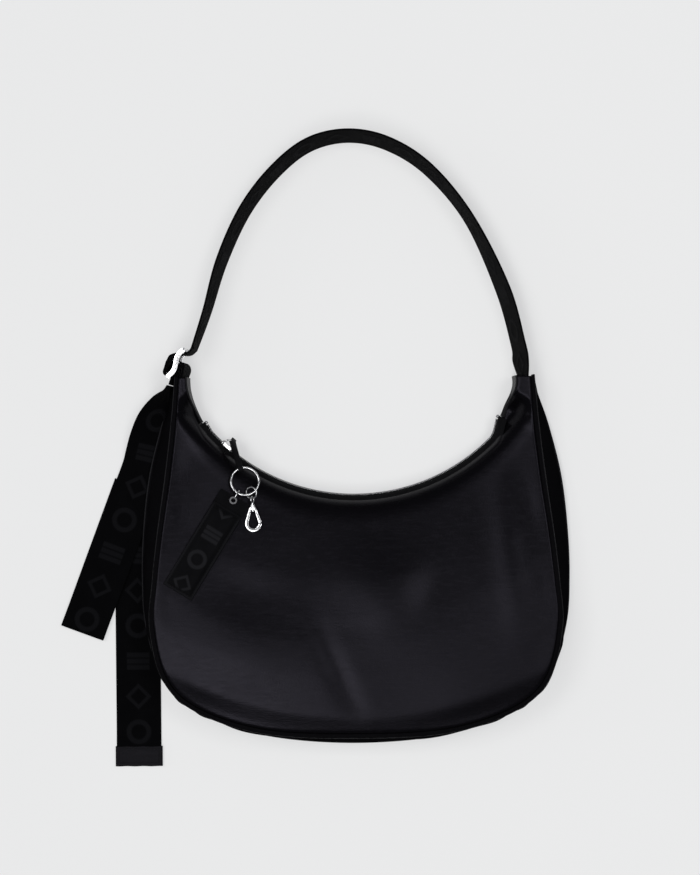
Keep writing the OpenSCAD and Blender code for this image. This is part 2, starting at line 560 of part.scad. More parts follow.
module pull_loop() color(leather) loop_tube(pull_rings);

// Link between the split ring and the fob, upright and in line with the fob
fob_link_slack = 2.2;
fob_link_at = zip_r + ring_reach + ring_mid * cos(ring_tilt) + fob_link_slack;
fob_link_z = ring_z + ring_mid * sin(ring_tilt);
module fob_link() color(steel) at_arc(hang_angle, fob_link_at, fob_link_z) rotate([0, 90, 0])
    rotate_extrude() translate([fob_link_r, 0]) circle(d = link_wire, $fn = 24);

// Padded fob of folded webbing with an eyelet at its top
tab_lift = 0.7;
tab_z = fob_link_z + tab_lift;
tab_t = 2.4;
eyelet_at = fob_link_at + fob_link_r * cos(asin((tab_z - fob_link_z) / fob_link_r));
eyelet_wall = 0.55;
eyelet_flange = 0.65;
tab_edge = 3.4;
fob_far_z = 51.2;
fob_low_shares = [[0, 0], [0.09, 0], [0.16, 0.24], [1, 1]];
fob_swell_shares = [[0, 0], [0.09, 0], [0.2, 0.8], [0.35, 1], [0.9, 1], [1, 0.3]];
fob_columns = [0, 0.045, 0.09, 0.16, 0.25, 0.4, 0.6, 0.8, 0.94, 1];
fob_rows = [-0.5, -0.45, -0.22, 0, 0.22, 0.45, 0.5];
fob_edge_shares = [[0, 1], [0.22, 1], [0.45, 0.75], [0.5, 0.45]];
tab_low = tab_z - tab_t / 2;
function fob_low(u) = mix(tab_low, fob_far_z, lookup(u, fob_low_shares));
function fob_thick(u, v) = mix(tab_t, fob_t, lookup(u, fob_swell_shares)) * lookup(abs(v), fob_edge_shares);
fob_under = [for (u = fob_columns) [for (v = fob_rows) [v * fob_w, tab_edge - u * fob_l, fob_low(u)]]];
fob_over = [for (i = [0:len(fob_columns) - 1]) [for (j = [0:len(fob_rows) - 1])
    fob_under[i][j] + [0, 0, fob_thick(fob_columns[i], fob_rows[j])]]];
module at_eyelet() at_arc(hang_angle, eyelet_at, 0) children();
module key_fob() color(webbing) at_eyelet() difference() {
    sheet(fob_under, fob_over);
    translate([0, 0, tab_low - over]) cylinder(d = eyelet_bore + 2 * eyelet_wall + 2 * pin_gap, h = tab_t + 2 * over);
}
module fob_eyelet() color(steel) at_eyelet() translate([0, 0, tab_z]) difference() {
    union() {
        cylinder(d = eyelet_bore + 2 * eyelet_wall, h = tab_t, center = true);
        for (side = [-1, 1]) translate([0, 0, side * (tab_t / 2 + eyelet_wall / 2)])
            cylinder(d = eyelet_bore + 2 * eyelet_wall + 2 * eyelet_flange, h = eyelet_wall, center = true);
    }
    cylinder(d = eyelet_bore, h = tab_t + 2 * eyelet_wall + over, center = true);
}

// Link between the split ring and the clasp
clasp_side = -29.3;
clasp_link_tilt = 38;
clasp_link_in = 0.6;
link_c = ring_point(ring_mid - clasp_link_in, clasp_side);
link_x = unit(link_c - ring_c);
link_y = cross(ring_n, link_x) * cos(clasp_link_tilt) + ring_n * sin(clasp_link_tilt);
module clasp_link() color(steel) at_ring() rotate(clasp_side) translate([ring_mid - clasp_link_in, 0, 0])
    rotate([clasp_link_tilt, 0, 0]) rotate_extrude() translate([clasp_link_r, 0]) circle(d = link_wire, $fn = 24);

// Swivel clasp, in a frame with X from its eye to the end of its hook
clasp_yaw = -87;
clasp_pitch = 6;
clasp_dir = [cos(clasp_yaw) * cos(clasp_pitch), sin(clasp_yaw) * cos(clasp_pitch), sin(clasp_pitch)];
eye_slack = 0.9;
eye_r = 2.5;
eye_hold = unit(link_x * (clasp_dir * link_x) + link_y * (clasp_dir * link_y));
eye_c = link_c + eye_hold * clasp_link_r + clasp_dir * eye_slack;
eye_axis = cross(eye_hold, cross(link_x, link_y));
clasp_y = [-sin(clasp_yaw), cos(clasp_yaw), 0];
clasp_z = cross(clasp_dir, clasp_y);
eye_roll = atan2(eye_axis * clasp_z, eye_axis * clasp_y);
stem_r = 0.8;
stem_head = 1.2;
head_x = 9;
collar_from = 4;
collar_to = 7.4;
collar_r = 2.2;
neck_x = 8.5;
neck_r = 2.9;
slot_x = 9.5;
slot_r = 1.6;
hook_lap = 0.9;
hook_end = collar_to + hook_l - hook_lap;
bow_x = hook_end - hook_w / 2;
pivot = [11, 3.05];
pivot_r = 1.2;
ear_r = 1.6;
nose_x = 20;
gate_t = hook_t / 2;
gate_l = nose_x - gap - pivot.x;
pin_r = 0.5;
module at_clasp() translate(eye_c) rotate(clasp_yaw) rotate([0, -clasp_pitch, 0]) children();
module clasp_eye() color(steel) at_clasp() {
    rotate([eye_roll - 90, 0, 0]) rotate_extrude() translate([eye_r, 0]) circle(d = link_wire, $fn = 24);
    rotate([0, 90, 0]) {
        translate([0, 0, eye_r]) cylinder(r = stem_r, h = head_x - eye_r);
        translate([0, 0, head_x]) cylinder(r = stem_head, h = stem_r);
    }
}
module hook_ring() difference() {
    hull() {
        translate([neck_x, 0]) circle(neck_r);
        translate([bow_x, 0]) circle(hook_w / 2);
    }
    hull() {
        translate([slot_x, 0]) circle(slot_r);
        translate([bow_x, 0]) circle(hook_w / 2 - hook_bar);
    }
}
module gate_window(from, to, thick) translate([from, 0, -thick / 2]) cube([to - from, hook_w, thick]);
module clasp_body() color(steel) at_clasp() difference() {
    union() {
        translate([0, 0, -hook_t / 2]) linear_extrude(hook_t) hook_ring();
        rotate([0, 90, 0]) translate([0, 0, collar_from]) cylinder(r = collar_r, h = collar_to - collar_from);
    }
    gate_window(pivot.x + ear_r, nose_x, 2 * hook_t);
    gate_window(pivot.x - ear_r, pivot.x + ear_r + over, gate_t + gap);
    rotate([0, 90, 0]) translate([0, 0, collar_from - over])
        cylinder(r = stem_r + pin_gap, h = collar_to - collar_from + 2 * over);
    translate([pivot.x, pivot.y, -hook_t]) cylinder(r = pin_r, h = 2 * hook_t);
}
module clasp_gate() color(steel) at_clasp() translate([0, 0, -gate_t / 2]) linear_extrude(gate_t) difference() {
    union() {
        intersection() {
            hook_ring();
            translate([pivot.x, 0]) square([gate_l, hook_w]);
            translate(pivot) circle(gate_l);
        }
        translate(pivot) circle(pivot_r);
    }
    translate(pivot) circle(pin_r + pin_gap);
}
module gate_pin() color(steel) at_clasp() translate([pivot.x, pivot.y, -hook_t / 2]) cylinder(r = pin_r, h = hook_t);

front_panel();
back_panel();
gusset();
lining_front();
lining_back();
lining_side();
inner_pocket();
zipper_tape_front();
zipper_tape_back();
zipper_teeth_front();
zipper_teeth_back();
zipper_stops();
tip_cover_left();
tip_cover_right();
shoulder_strap();
strap_root_right();
strap_root_left();
strap_wrap();
buckle_loop();
slide_buckle();
strap_tail();
strap_tail_return();
strap_end_cap();
slider_body();
slider_bail();
pull_loop();
split_ring();
fob_link();
fob_eyelet();
key_fob();
clasp_link();
clasp_eye();
clasp_body();
clasp_gate();
gate_pin();
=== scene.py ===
"""The looks of the crescent shoulder bag: leather shell, webbing, zip, hardware, floor, light and camera."""
import json
import math
import bpy
import numpy as np
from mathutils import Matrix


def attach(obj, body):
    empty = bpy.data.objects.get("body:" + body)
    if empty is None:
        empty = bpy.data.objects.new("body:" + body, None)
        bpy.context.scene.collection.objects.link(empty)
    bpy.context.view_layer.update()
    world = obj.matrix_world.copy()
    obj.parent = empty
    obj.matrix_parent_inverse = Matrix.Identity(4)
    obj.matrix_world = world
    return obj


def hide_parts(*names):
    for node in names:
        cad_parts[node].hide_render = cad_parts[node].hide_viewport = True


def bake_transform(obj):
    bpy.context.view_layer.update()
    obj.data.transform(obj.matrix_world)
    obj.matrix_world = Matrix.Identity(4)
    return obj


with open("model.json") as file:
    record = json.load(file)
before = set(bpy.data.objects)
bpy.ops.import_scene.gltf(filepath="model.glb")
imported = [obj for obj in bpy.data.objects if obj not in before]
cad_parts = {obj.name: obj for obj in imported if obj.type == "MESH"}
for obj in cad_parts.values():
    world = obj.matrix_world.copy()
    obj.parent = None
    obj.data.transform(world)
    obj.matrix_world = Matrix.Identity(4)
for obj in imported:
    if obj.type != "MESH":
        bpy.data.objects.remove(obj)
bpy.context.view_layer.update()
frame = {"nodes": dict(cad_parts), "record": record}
nodes = frame["nodes"]
MM = 0.001
UP = np.array([0, 0, 1.0])

# Sizes in millimetres and angles in degrees, most of them the same as in the part's source. The tips, the rim and
# the tail follow the photograph more closely here.
ZIP_R, ZIP_CY, ZIP_Z = 163.0, 251.5, 18.0
FRONT_HALF_W, FRONT_H, FRONT_DROP = 168.5, 296.8, 108.3
BACK_HALF_W, BACK_DROP = 179.6, 118.8
DEPTH, LEFT_TIP_W, RIGHT_TIP_W, RIM_LIFT, RIM_W = 54.0, 6.4, 12.2, 9.0, 40.0
LEATHER_T, LINING_T, TAPE_T, TAPE_WING = 1.4, 0.5, 0.6, 7.0
WEB_W, WEB_T = 38.0, 1.6
ARCH_HALF_W, ARCH_H = 135.0, 177.5
CAP_L, CAP_RISE, CAP_LAP = 17.0, 0.8, 2.0
BUCKLE_PLATE = 2.2
GAP = 0.3
CHAIN_SHARE, CHAIN_INSET, SLIDER_SHARE, RING_SHARE = 0.799, 14.0, -0.804, -0.609
LEFT_BEND, RIGHT_BEND, BEND_FULL, BEND_END = (2.2, 47.5), (8.5, 44.5), 53.0, 65.0
TIP_FROM, TIP_END, EARLY_FROM, EARLY_W = 3.0, 4.0, (-9.0, 1.0), 14.0
HINGE_RISE, BUCKLE_OUT, BUCKLE_RISE = 27.5, 0.7, 12.5
RING_REACH, RING_Z, RING_TILT, RING_D, RING_WIRE = 12.4, 43.5, 14.0, 25.0, 1.8
# Seams as shares of half the width and of the height up to the tips. Rises by the distance from the zip: the front's
# as shares of the depth, the back's as shares of the zip's height.
FRONT_SEAM = [(0, 0), (0.447, 0.0127), (0.771, 0.071), (0.935, 0.158), (0.999, 0.305), (0.985, 0.4287),
              (0.959, 0.562), (0.9235, 0.71), (0.893, 0.87), (0.877, 1)]
BACK_SEAM = [(0, 0), (0.432, 0.0224), (0.744, 0.0885), (0.904, 0.177), (0.983, 0.32), (1, 0.45),
             (0.993, 0.585), (0.965, 0.73), (0.905, 0.87), (0.832, 1)]
FRONT_RISE = [(0, 0.42), (0.015, 0.51), (0.025, 0.575), (0.05, 0.665), (0.1, 0.722), (0.2, 0.785), (0.355, 0.872),
              (0.51, 0.94), (0.62, 0.972), (0.76, 0.993), (0.92, 1), (1, 0.94)]
BACK_RISE = [(0, 0.5), (0.015, 0.43), (0.03, 0.3), (0.06, 0.17), (0.12, 0.05), (0.2, 0), (1, 0)]
KNOTS = len(FRONT_SEAM) - 1
TIP_DEPTH = WEB_W + 2 * LEATHER_T + 3 * GAP
TIP_Y = FRONT_H - FRONT_DROP
TIP_X = FRONT_HALF_W * FRONT_SEAM[KNOTS][0]
PANEL_DEPTH = ZIP_CY + FRONT_DROP - ZIP_R
PANEL_EDGE = TAPE_WING * 3 / 7
TIP_A = math.degrees(math.atan2(TIP_X, ZIP_CY - TIP_Y))
ZIP_HALF = CHAIN_SHARE * math.degrees(math.atan2(TIP_X - CHAIN_INSET, ZIP_CY - TIP_Y))
SLIDER_ANGLE, RING_ANGLE = SLIDER_SHARE * ZIP_HALF, RING_SHARE * ZIP_HALF
HINGE_Y = TIP_Y + HINGE_RISE
BUCKLE = np.array([-TIP_X - BUCKLE_OUT, TIP_Y + BUCKLE_RISE])
WEB_Z = TIP_DEPTH / 2 + GAP / 2
LOOP_Z = GAP + BUCKLE_PLATE + GAP + WEB_W / 2


def unit(v):
    """Vectors of length one, along the last axis."""
    return v / np.maximum(np.linalg.norm(v, axis=-1, keepdims=True), 1e-12)


def smooth(x, low, high):
    """0 below low, 1 above high and a smooth step between."""
    t = np.clip((x - low) / (high - low), 0, 1)
    return t * t * (3 - 2 * t)


def catmull(p, i, t):
    """Smooth curve through the points p at whole position i plus t."""
    a, b, c, d = p[i - 1], p[i], p[i + 1], p[i + 2]
    t = t[:, None]
    return b + (c - a) * t / 2 + (2 * a - 5 * b + 4 * c - d) * t * t / 2 + (3 * b - a - 3 * c + d) * t ** 3 / 2


def along(points, s):
    """Points at the positions s of an open list."""
    p = np.asarray(points, float)
    p = np.vstack([p[:1], p, p[-1:]])
    i = np.clip(np.floor(s).astype(int), 0, len(points) - 2)
    return catmull(p, i + 1, s - i)


def outline(shares, s):
    """Points of a mirrored half outline at the positions s, from minus KNOTS to KNOTS."""
    p = np.array(shares, float)
    p = np.vstack([[-p[1][0], p[1][1]], p, p[-1:]])
    q = np.abs(s)
    i = np.clip(np.floor(q).astype(int), 0, len(shares) - 2)
    out = catmull(p, i + 1, q - i)
    out[:, 0] *= np.sign(s)
    return out


def front_seam(s):
    q = outline(FRONT_SEAM, s)
    return np.stack([q[:, 0] * FRONT_HALF_W, q[:, 1] * FRONT_H - FRONT_DROP], 1)


def back_seam(s):
    q = outline(BACK_SEAM, s)
    return np.stack([q[:, 0] * BACK_HALF_W, q[:, 1] * (TIP_Y + BACK_DROP) - BACK_DROP], 1)


def arc_angle(p):
    return np.degrees(np.arctan2(p[..., 0], ZIP_CY - p[..., 1]))


def tip_in(side):
    """Radius and angle of the inner corner of the tip on the side that the sign tells."""
    x = TIP_X - np.where(np.asarray(side) < 0, LEFT_TIP_W, RIGHT_TIP_W)
    return np.hypot(x, ZIP_CY - TIP_Y), np.degrees(np.arctan2(x, ZIP_CY - TIP_Y))


def inner_r(a):
    corner_r, corner_a = tip_in(a)
    w = np.clip((np.abs(a) - ZIP_HALF) / (corner_a - ZIP_HALF), 0, 1)
    return (ZIP_R + PANEL_EDGE) * (1 - w ** 1.5) + corner_r * w ** 1.5


def bent(a):
    """How far the last stretch of the zip bends in from its circle, in millimetres."""
    b = np.abs(a)
    most, start = (np.where(np.asarray(a) < 0, *pair) for pair in zip(LEFT_BEND, RIGHT_BEND))
    return most * smooth(b, start, BEND_FULL) * (1 - smooth(b, BEND_FULL + 1, BEND_END))


def on_arc(r, a):
    """Points at a radius and an angle round the centre of the zip's curve."""
    r = r - bent(a)
    a = np.radians(a)
    return np.stack([r * np.sin(a), ZIP_CY - r * np.cos(a)], -1)


def inner_edge(p):
    a = arc_angle(p) * tip_in(p[..., 0])[1] / TIP_A
    return on_arc(inner_r(a), a)


def tip_share(p):
    """0 on the open front and 1 at the end of a tip, where the leather stands as deep as the webbing."""
    start = ZIP_HALF + TIP_FROM
    return np.clip((np.abs(arc_angle(p)) - start) / (tip_in(p[..., 0])[1] - start - TIP_END), 0, 1) ** 2


def softened(table, width):
    """A table of shares as a fine one, smoothed over a width."""
    reach, x = 60, np.linspace(-0.1, 1.1, 1201)
    t = np.array(table)
    y = np.interp(x, t[:, 0], t[:, 1])
    k = np.exp(-0.5 * (np.arange(-reach, reach + 1) * 0.001 / width) ** 2)
    pad = np.concatenate([np.full(reach, y[0]), y, np.full(reach, y[-1])])
    return x, np.convolve(pad, k / k.sum(), "valid")


FRONT_TABLE = softened(FRONT_RISE, 0.012)
BACK_TABLE = softened(BACK_RISE, 0.006)


def zip_share(p):
    return (np.hypot(p[..., 0], ZIP_CY - p[..., 1]) - ZIP_R) / PANEL_DEPTH


def front_z(p):
    """The height of the front leather, which rises towards the tips earlier away from the zip than along it."""
    z = np.interp(zip_share(p), *FRONT_TABLE) * DEPTH
    a, edge = arc_angle(p), zip_share(p) * PANEL_DEPTH
    first = ZIP_HALF + np.where(a < 0, *EARLY_FROM)
    early = smooth(np.abs(a), first, tip_in(a)[1] - TIP_END) * smooth(edge, PANEL_EDGE, PANEL_EDGE + EARLY_W)
    w = np.maximum(smooth(np.sqrt(tip_share(p)), 0, 1), early)
    return z * (1 - w) + TIP_DEPTH * w


def back_z(p, from_seam):
    z = np.maximum(np.interp(zip_share(p), *BACK_TABLE) * ZIP_Z, RIM_LIFT * np.clip(1 - from_seam / RIM_W, 0, 1))
    w = tip_share(p)
    return z * (1 - w) + GAP * w


# Meshes

def put(name, data):
    """A new object with this data, in the scene."""
    obj = bpy.data.objects.new(name, data)
    bpy.context.scene.collection.objects.link(obj)
    return obj


def mesh_object(name, verts, faces, uvs=None, raised=None):
    """A new mesh object from points in millimetres; uvs gives a pair of millimetres for each point, raised a share."""
    mesh = bpy.data.meshes.new(name)
    mesh.from_pydata((np.asarray(verts, float) * MM).tolist(), [], faces)
    if uvs is not None:
        layer = mesh.uv_layers.new(name="UVMap")
        index = np.zeros(len(mesh.loops), int)
        mesh.loops.foreach_get("vertex_index", index)
        layer.data.foreach_set("uv", (np.asarray(uvs, float)[index] * MM).ravel())
    if raised is not None:
        mesh.attributes.new("raised", "FLOAT", "POINT").data.foreach_set("value", np.ravel(raised).astype(np.float32))
    mesh.validate()
    mesh.shade_smooth()
    return put(name, mesh)


def tube_faces(m, n, ends=True, base=0):
    """Faces of a tube of m rings with n points each, counted from base, with its two ends filled."""
    faces = [(i * n + j, i * n + (j + 1) % n, (i + 1) * n + (j + 1) % n, (i + 1) * n + j)
             for i in range(m - 1) for j in range(n)]
    if ends:
        faces += [tuple(range(n - 1, -1, -1)), tuple((m - 1) * n + j for j in range(n))]
    return [tuple(base + k for k in f) for f in faces]


def pillow_faces(m, n, keep=None, flip=False):
    """Faces of two sheets of m by n points, one after the other, and of the rim between them."""
    back = m * n
    faces = []
    for k in (i * n + j for i in range(m - 1) for j in range(n - 1) if keep is None or keep[i, j]):
        faces += [(k, k + n, k + n + 1, k + 1), (back + k, back + k + 1, back + k + n + 1, back + k + n)]

    def rim(k, step, turned):
        f = (k, k + step, back + k + step, back + k)
        return f[::-1] if turned else f
    faces += [rim(i * n + j, n, j == 0) for i in range(m - 1) for j in (0, n - 1)]
    faces += [rim(i * n + j, 1, i > 0) for j in range(n - 1) for i in (0, m - 1)]
    return [f[:1] + f[:0:-1] for f in faces] if flip else faces


def grid_normals(g, towards):
    """Unit normals of a grid of points, on the side that looks along towards."""
    n = unit(np.cross(np.gradient(g, axis=1), np.gradient(g, axis=0)))
    return n * np.sign((n * towards).sum(-1).mean())


def leaf(name, g, normals, thick):
    """A sheet with rounded rims: g is its outer face, columns by rows, and thick goes inwards."""
    arcs = np.radians([45, 90, 135])
    first = unit(g[:, 0] - g[:, 1])
    last = unit(g[:, -1] - g[:, -2])
    centre_a, centre_b = g[:, 0] - normals[:, 0] * thick / 2, g[:, -1] - normals[:, -1] * thick / 2
    rim_b = [centre_b + (normals[:, -1] * math.cos(a) + last * math.sin(a)) * thick / 2 for a in arcs]
    rim_a = [centre_a + (-normals[:, 0] * math.cos(a) + first * math.sin(a)) * thick / 2 for a in arcs]
    inner = g - normals * thick
    rings = np.concatenate([g, np.stack(rim_b, 1), inner[:, ::-1], np.stack(rim_a, 1)], 1)
    m, n = rings.shape[:2]
    rows = g.shape[1]
    faces = [f[::-1] for f in tube_faces(m, n, False)]
    ends = []
    for k in (0, (m - 1) * n):
        strip = [(k + j, k + j + 1, k + 2 * rows + 1 - j, k + 2 * rows + 2 - j) for j in range(rows - 1)]
        ends += strip if k == 0 else [f[::-1] for f in strip]
    return mesh_object(name, rings.reshape(-1, 3), faces + ends)


def relief(v_mm, at, width, height):
    """A rounded ridge or groove across the millimetres v_mm."""
    return height * np.exp(-((v_mm - at) / width) ** 2)


# The leather shell

SEAM_S = np.linspace(-KNOTS, KNOTS, 361)


def sag(x, y):
    """How far the filled front panel sinks or swells at a place, in millimetres."""
    def dip(cx, cy, rx, ry, turn, depth):
        t = math.radians(turn)
        u, w = (x - cx) * math.cos(t) + (y - cy) * math.sin(t), -(x - cx) * math.sin(t) + (y - cy) * math.cos(t)
        return depth * np.exp(-(u / rx) ** 2 - (w / ry) ** 2)
    out = dip(127, 42, 13, 60, 6, 1.0)
    out += dip(25, 14, 48, 32, 0, 2.6)
    out += dip(-14, -58, 9, 42, 24, -1.0)
    out += dip(-85, -45, 50, 32, -10, 1.8)
    out += dip(-95, 8, 48, 22, -20, -2.2)
    out += dip(62, 8, 16, 36, -30, -1.0)
    out += 0.35 * np.sin(x / 19 + 0.6 * np.sin(y / 31)) * np.cos(y / 23 + 0.5 * np.sin(x / 37))
    return out


def front_leather():
    """The front panel: a folded edge along the zip and a turned-down edge at the seam."""
    seam = front_seam(SEAM_S)
    edge = inner_edge(seam)
    length = np.linalg.norm(seam - edge, axis=1)
    v = np.concatenate([[0, 0.004, 0.009, 0.015, 0.022, 0.03], np.linspace(0.04, 0.955, 66),
                        [0.963, 0.971, 0.978, 0.984, 0.989, 0.993, 0.997, 1.0]])
    p = edge[:, None] * (1 - v)[None, :, None] + seam[:, None] * v[None, :, None]
    tip = tip_share(p)
    z = front_z(p)
    from_zip = length[:, None] * v[None, :]
    from_seam = length[:, None] * (1 - v)[None, :]
    fade = smooth(from_zip, 6, 30) * smooth(from_seam, 4, 26) * (1 - tip)
    z = z + sag(p[..., 0], p[..., 1]) * fade
    pucker, turned = 0.16, 2.6
    z = z + np.sin(SEAM_S * 53)[:, None] * relief(from_seam, 0, 5, pucker)
    z = z - turned * np.exp(-(from_seam / 1.5) ** 1.6) * (1 - 0.5 * tip)
    closed = smooth(np.abs(arc_angle(p)), ZIP_HALF - 1, ZIP_HALF + 4)
    z = z - relief(from_zip, 0, 1.3, 1.5) * (1 - 0.7 * closed) - relief(from_zip, 3.6, 0.7, 0.35) * (1 - closed)
    g = np.concatenate([p, z[..., None]], -1)
    normals = grid_normals(g, UP)
    under = slice(np.searchsorted(v, 0.04), np.searchsorted(v, 0.9))
    drop = normals[:, under] * (LEATHER_T + 2 * GAP)
    lining = leaf("lining_top", g[:, under] - drop, normals[:, under], LINING_T)
    return leaf("leather_front", g, normals, LEATHER_T), lining


def gusset_point(v):
    """Points of the gusset's outer face at shares v of the way from the front seam to the back one."""
    f, b = front_seam(SEAM_S), back_seam(SEAM_S)
    n, w = unit(f - np.array([0, ZIP_CY / 4])), tip_share(f)
    low = RIM_LIFT * (1 - w) + GAP * w
    p = (f + n * (LEATHER_T + GAP))[:, None] * (1 - v)[:, None] + b[:, None] * v[:, None]
    p += n[:, None] * 2 * np.sin(np.pi * v)[:, None]
    z = front_z(f)[:, None] * (1 - v) + low[:, None] * v
    return np.concatenate([p, z[..., None]], -1)


def gusset_leather():
    """The band round the side, with a ridge along each seam and soft creases between them."""
    v = np.concatenate([np.linspace(0, 0.16, 18), np.linspace(0.175, 0.86, 30), np.linspace(0.872, 1, 18)])
    g = gusset_point(v)
    f = front_seam(SEAM_S)
    outward = np.concatenate([f - np.array([0, 60]), np.full((len(f), 1), 20.0)], 1)
    normals = grid_normals(g, outward[:, None])
    steps = np.linalg.norm(np.diff(g, axis=1), axis=-1)
    across = np.concatenate([np.zeros((len(g), 1)), np.cumsum(steps, 1)], 1)
    back = across[:, -1:] - across
    w, s = tip_share(f)[:, None], SEAM_S[:, None]
    ridges = relief(across, 1.5, 0.85, 0.6) - relief(across, 3.3, 0.55, 0.6) - relief(across, 0, 0.5, 1.2)
    off = ridges * (1 - 0.4 * w)
    off += relief(back, 1.3, 1.0, 1.1) - relief(back, 3.4, 0.8, 0.6) + np.sin(s * 47) * relief(across, 5, 3.5, 0.25)
    middle = np.sin(np.pi * np.clip(across / across[:, -1:], 0, 1))
    off += 0.6 * np.sin(s * 9.3 + 1.2 * np.sin(s * 3.1)) * middle * (1 - w) - middle * relief(np.abs(s), 6.8, 1.1, 1.4)
    return leaf("leather_gusset", g + normals * off[..., None], normals, LEATHER_T), g, normals, across


def back_leather():
    """The back panel: flat on the table, rising to the zip and to its own seam."""
    q = back_seam(SEAM_S)
    u = unit(q - np.array([0, ZIP_CY]))
    o = q - u * (LEATHER_T + 1.6)
    edge = inner_edge(o)
    v = np.concatenate([[0, 0.005, 0.012, 0.02, 0.03, 0.045, 0.06, 0.08], np.linspace(0.1, 0.95, 40),
                        [0.965, 0.98, 0.99, 1]])
    p = edge[:, None] * (1 - v)[None, :, None] + o[:, None] * v[None, :, None]
    gone = np.linalg.norm(o[:, None] - p, axis=-1)
    z = back_z(p, gone)
    z = z + 0.12 * (1 + np.sin(p[..., 0] / 21) * np.cos(p[..., 1] / 17))
    g = np.concatenate([p, z[..., None]], -1)
    return leaf("leather_back", g, grid_normals(g, -UP), LEATHER_T)


def thread(name, points, normals, pitch=3.2, length=2.3, radius=0.26, lift=0.1, sides=6):
    """A row of stitches along a line of points, each a small rounded bar lying on the surface."""
    normals = np.broadcast_to(normals, points.shape)
    seg = np.linalg.norm(np.diff(points, axis=0), axis=1)
    s = np.concatenate([[0], np.cumsum(seg)])
    count = int(s[-1] / pitch)
    verts, faces = [], []
    shape = [(-0.5, 0.35), (-0.42, 0.85), (-0.2, 1.0), (0.2, 1.0), (0.42, 0.85), (0.5, 0.35)]
    for i in range(count):
        mid = (i + 0.5) * s[-1] / count
        at = [mid + q * length for q, _ in shape]
        c = np.stack([np.interp(at, s, points[:, k]) for k in range(3)], 1)
        n = unit(np.array([np.interp(mid, s, normals[:, k]) for k in range(3)]))
        t = unit(c[-1] - c[0])
        side = np.cross(t, n)
        base = len(verts)
        for k, (q, r) in enumerate(shape):
            rise = lift - 0.45 * abs(q) ** 2
            for a in range(sides):
                ang = 2 * math.pi * a / sides
                verts.append(c[k] + n * rise + (side * math.cos(ang) + n * math.sin(ang)) * radius * r)
        faces += tube_faces(len(shape), sides, base=base)
    return mesh_object(name, verts, faces)


# Webbing

def bumps(u, v):
    """A generic raised motif for the webbing: lozenges, rings and bars in turn, along u and across v in millimetres."""
    cell = 30.0
    k = np.floor(u / cell)
    x, y, kind = np.abs(u - (k + 0.5) * cell), np.abs(v), np.mod(k, 3)
    lozenge, ring = np.abs(x + y - 8.97), np.abs(np.hypot(x, y) - 8.4)
    bars = np.minimum(np.abs(x - 5.2), x) + 11.5 * np.maximum(y - 9.5, 0)
    return 1 - smooth(np.where(kind == 0, lozenge, np.where(kind == 1, ring, bars)), 1.5, 2.7)


def web_frames(path, lean, s):
    """Middle line, width direction and face direction of upright webbing along a list of points."""
    data = np.column_stack([np.asarray(path, float), np.asarray(lean, float)])
    q = along(data, s)
    ahead, behind = along(data, np.minimum(s + 0.05, len(data) - 1)), along(data, np.maximum(s - 0.05, 0))
    t = unit((ahead - behind)[:, :2])
    side = np.stack([-t[:, 1], t[:, 0], np.zeros(len(s))], 1)
    a = np.radians(q[:, 3])[:, None]
    return q[:, :3], side * np.sin(a) + UP * np.cos(a), side * np.cos(a) - UP * np.sin(a)


def webbing(name, c, up, face, motif=0.0, phase=0.0):
    """Webbing through the middle points c: a woven band with thick rounded edges and a raised motif on its faces."""
    half_w, rim = WEB_W / 2 - 0.5, 0.5
    run = np.concatenate([[0], np.cumsum(np.linalg.norm(np.diff(c, axis=0), axis=1))])
    v = np.linspace(-1, 1, 45) * half_w
    half = WEB_T / 2 * (1 - relief(np.abs(v), WEB_W / 2 - 2.2, 0.8, 0.18))
    mark = bumps(run[:, None] + phase, v[None, :]) * (motif > 0)
    middle, off = c[:, None] + up[:, None] * v[None, :, None], face[:, None] * (half + motif * mark)[..., None]
    arcs = np.radians([30, 60, 90, 120, 150])
    edge = np.stack([up * (half_w + rim * math.sin(a)) + face * WEB_T / 2 * math.cos(a) for a in arcs], 1)
    rings = np.concatenate([middle + off, c[:, None] + edge, (middle - off)[:, ::-1], c[:, None] - edge], 1)
    over = np.linspace(0.4, 2, 5)
    across = np.concatenate([v, v[-1] + over, v[::-1], v[0] - over])
    uv = np.stack([np.repeat(run[:, None], rings.shape[1], 1), np.repeat(across[None], len(run), 0)], -1)
    none = np.zeros((len(run), 5))
    # The raised motif is marked here so that the material can paint it paler, a painted highlight on its relief.
    raised = np.concatenate([mark, none, mark[:, ::-1], none], 1)
    return mesh_object(name, rings.reshape(-1, 3), tube_faces(*rings.shape[:2]), uv.reshape(-1, 2), raised)


def evenly(path, lean, count):
    """The frames of web_frames at equal lengths along a list of points."""
    fine = np.linspace(0, len(path) - 1, 1500)
    c = along(np.asarray(path, float), fine)
    run = np.concatenate([[0], np.cumsum(np.linalg.norm(np.diff(c, axis=0), axis=1))])
    return web_frames(path, lean, np.interp(np.linspace(0, run[-1], count), run, fine))


def standing(lean):
    a = np.radians(np.abs(lean))
    return WEB_W / 2 * np.cos(a) + WEB_T / 2 * np.sin(a) + GAP


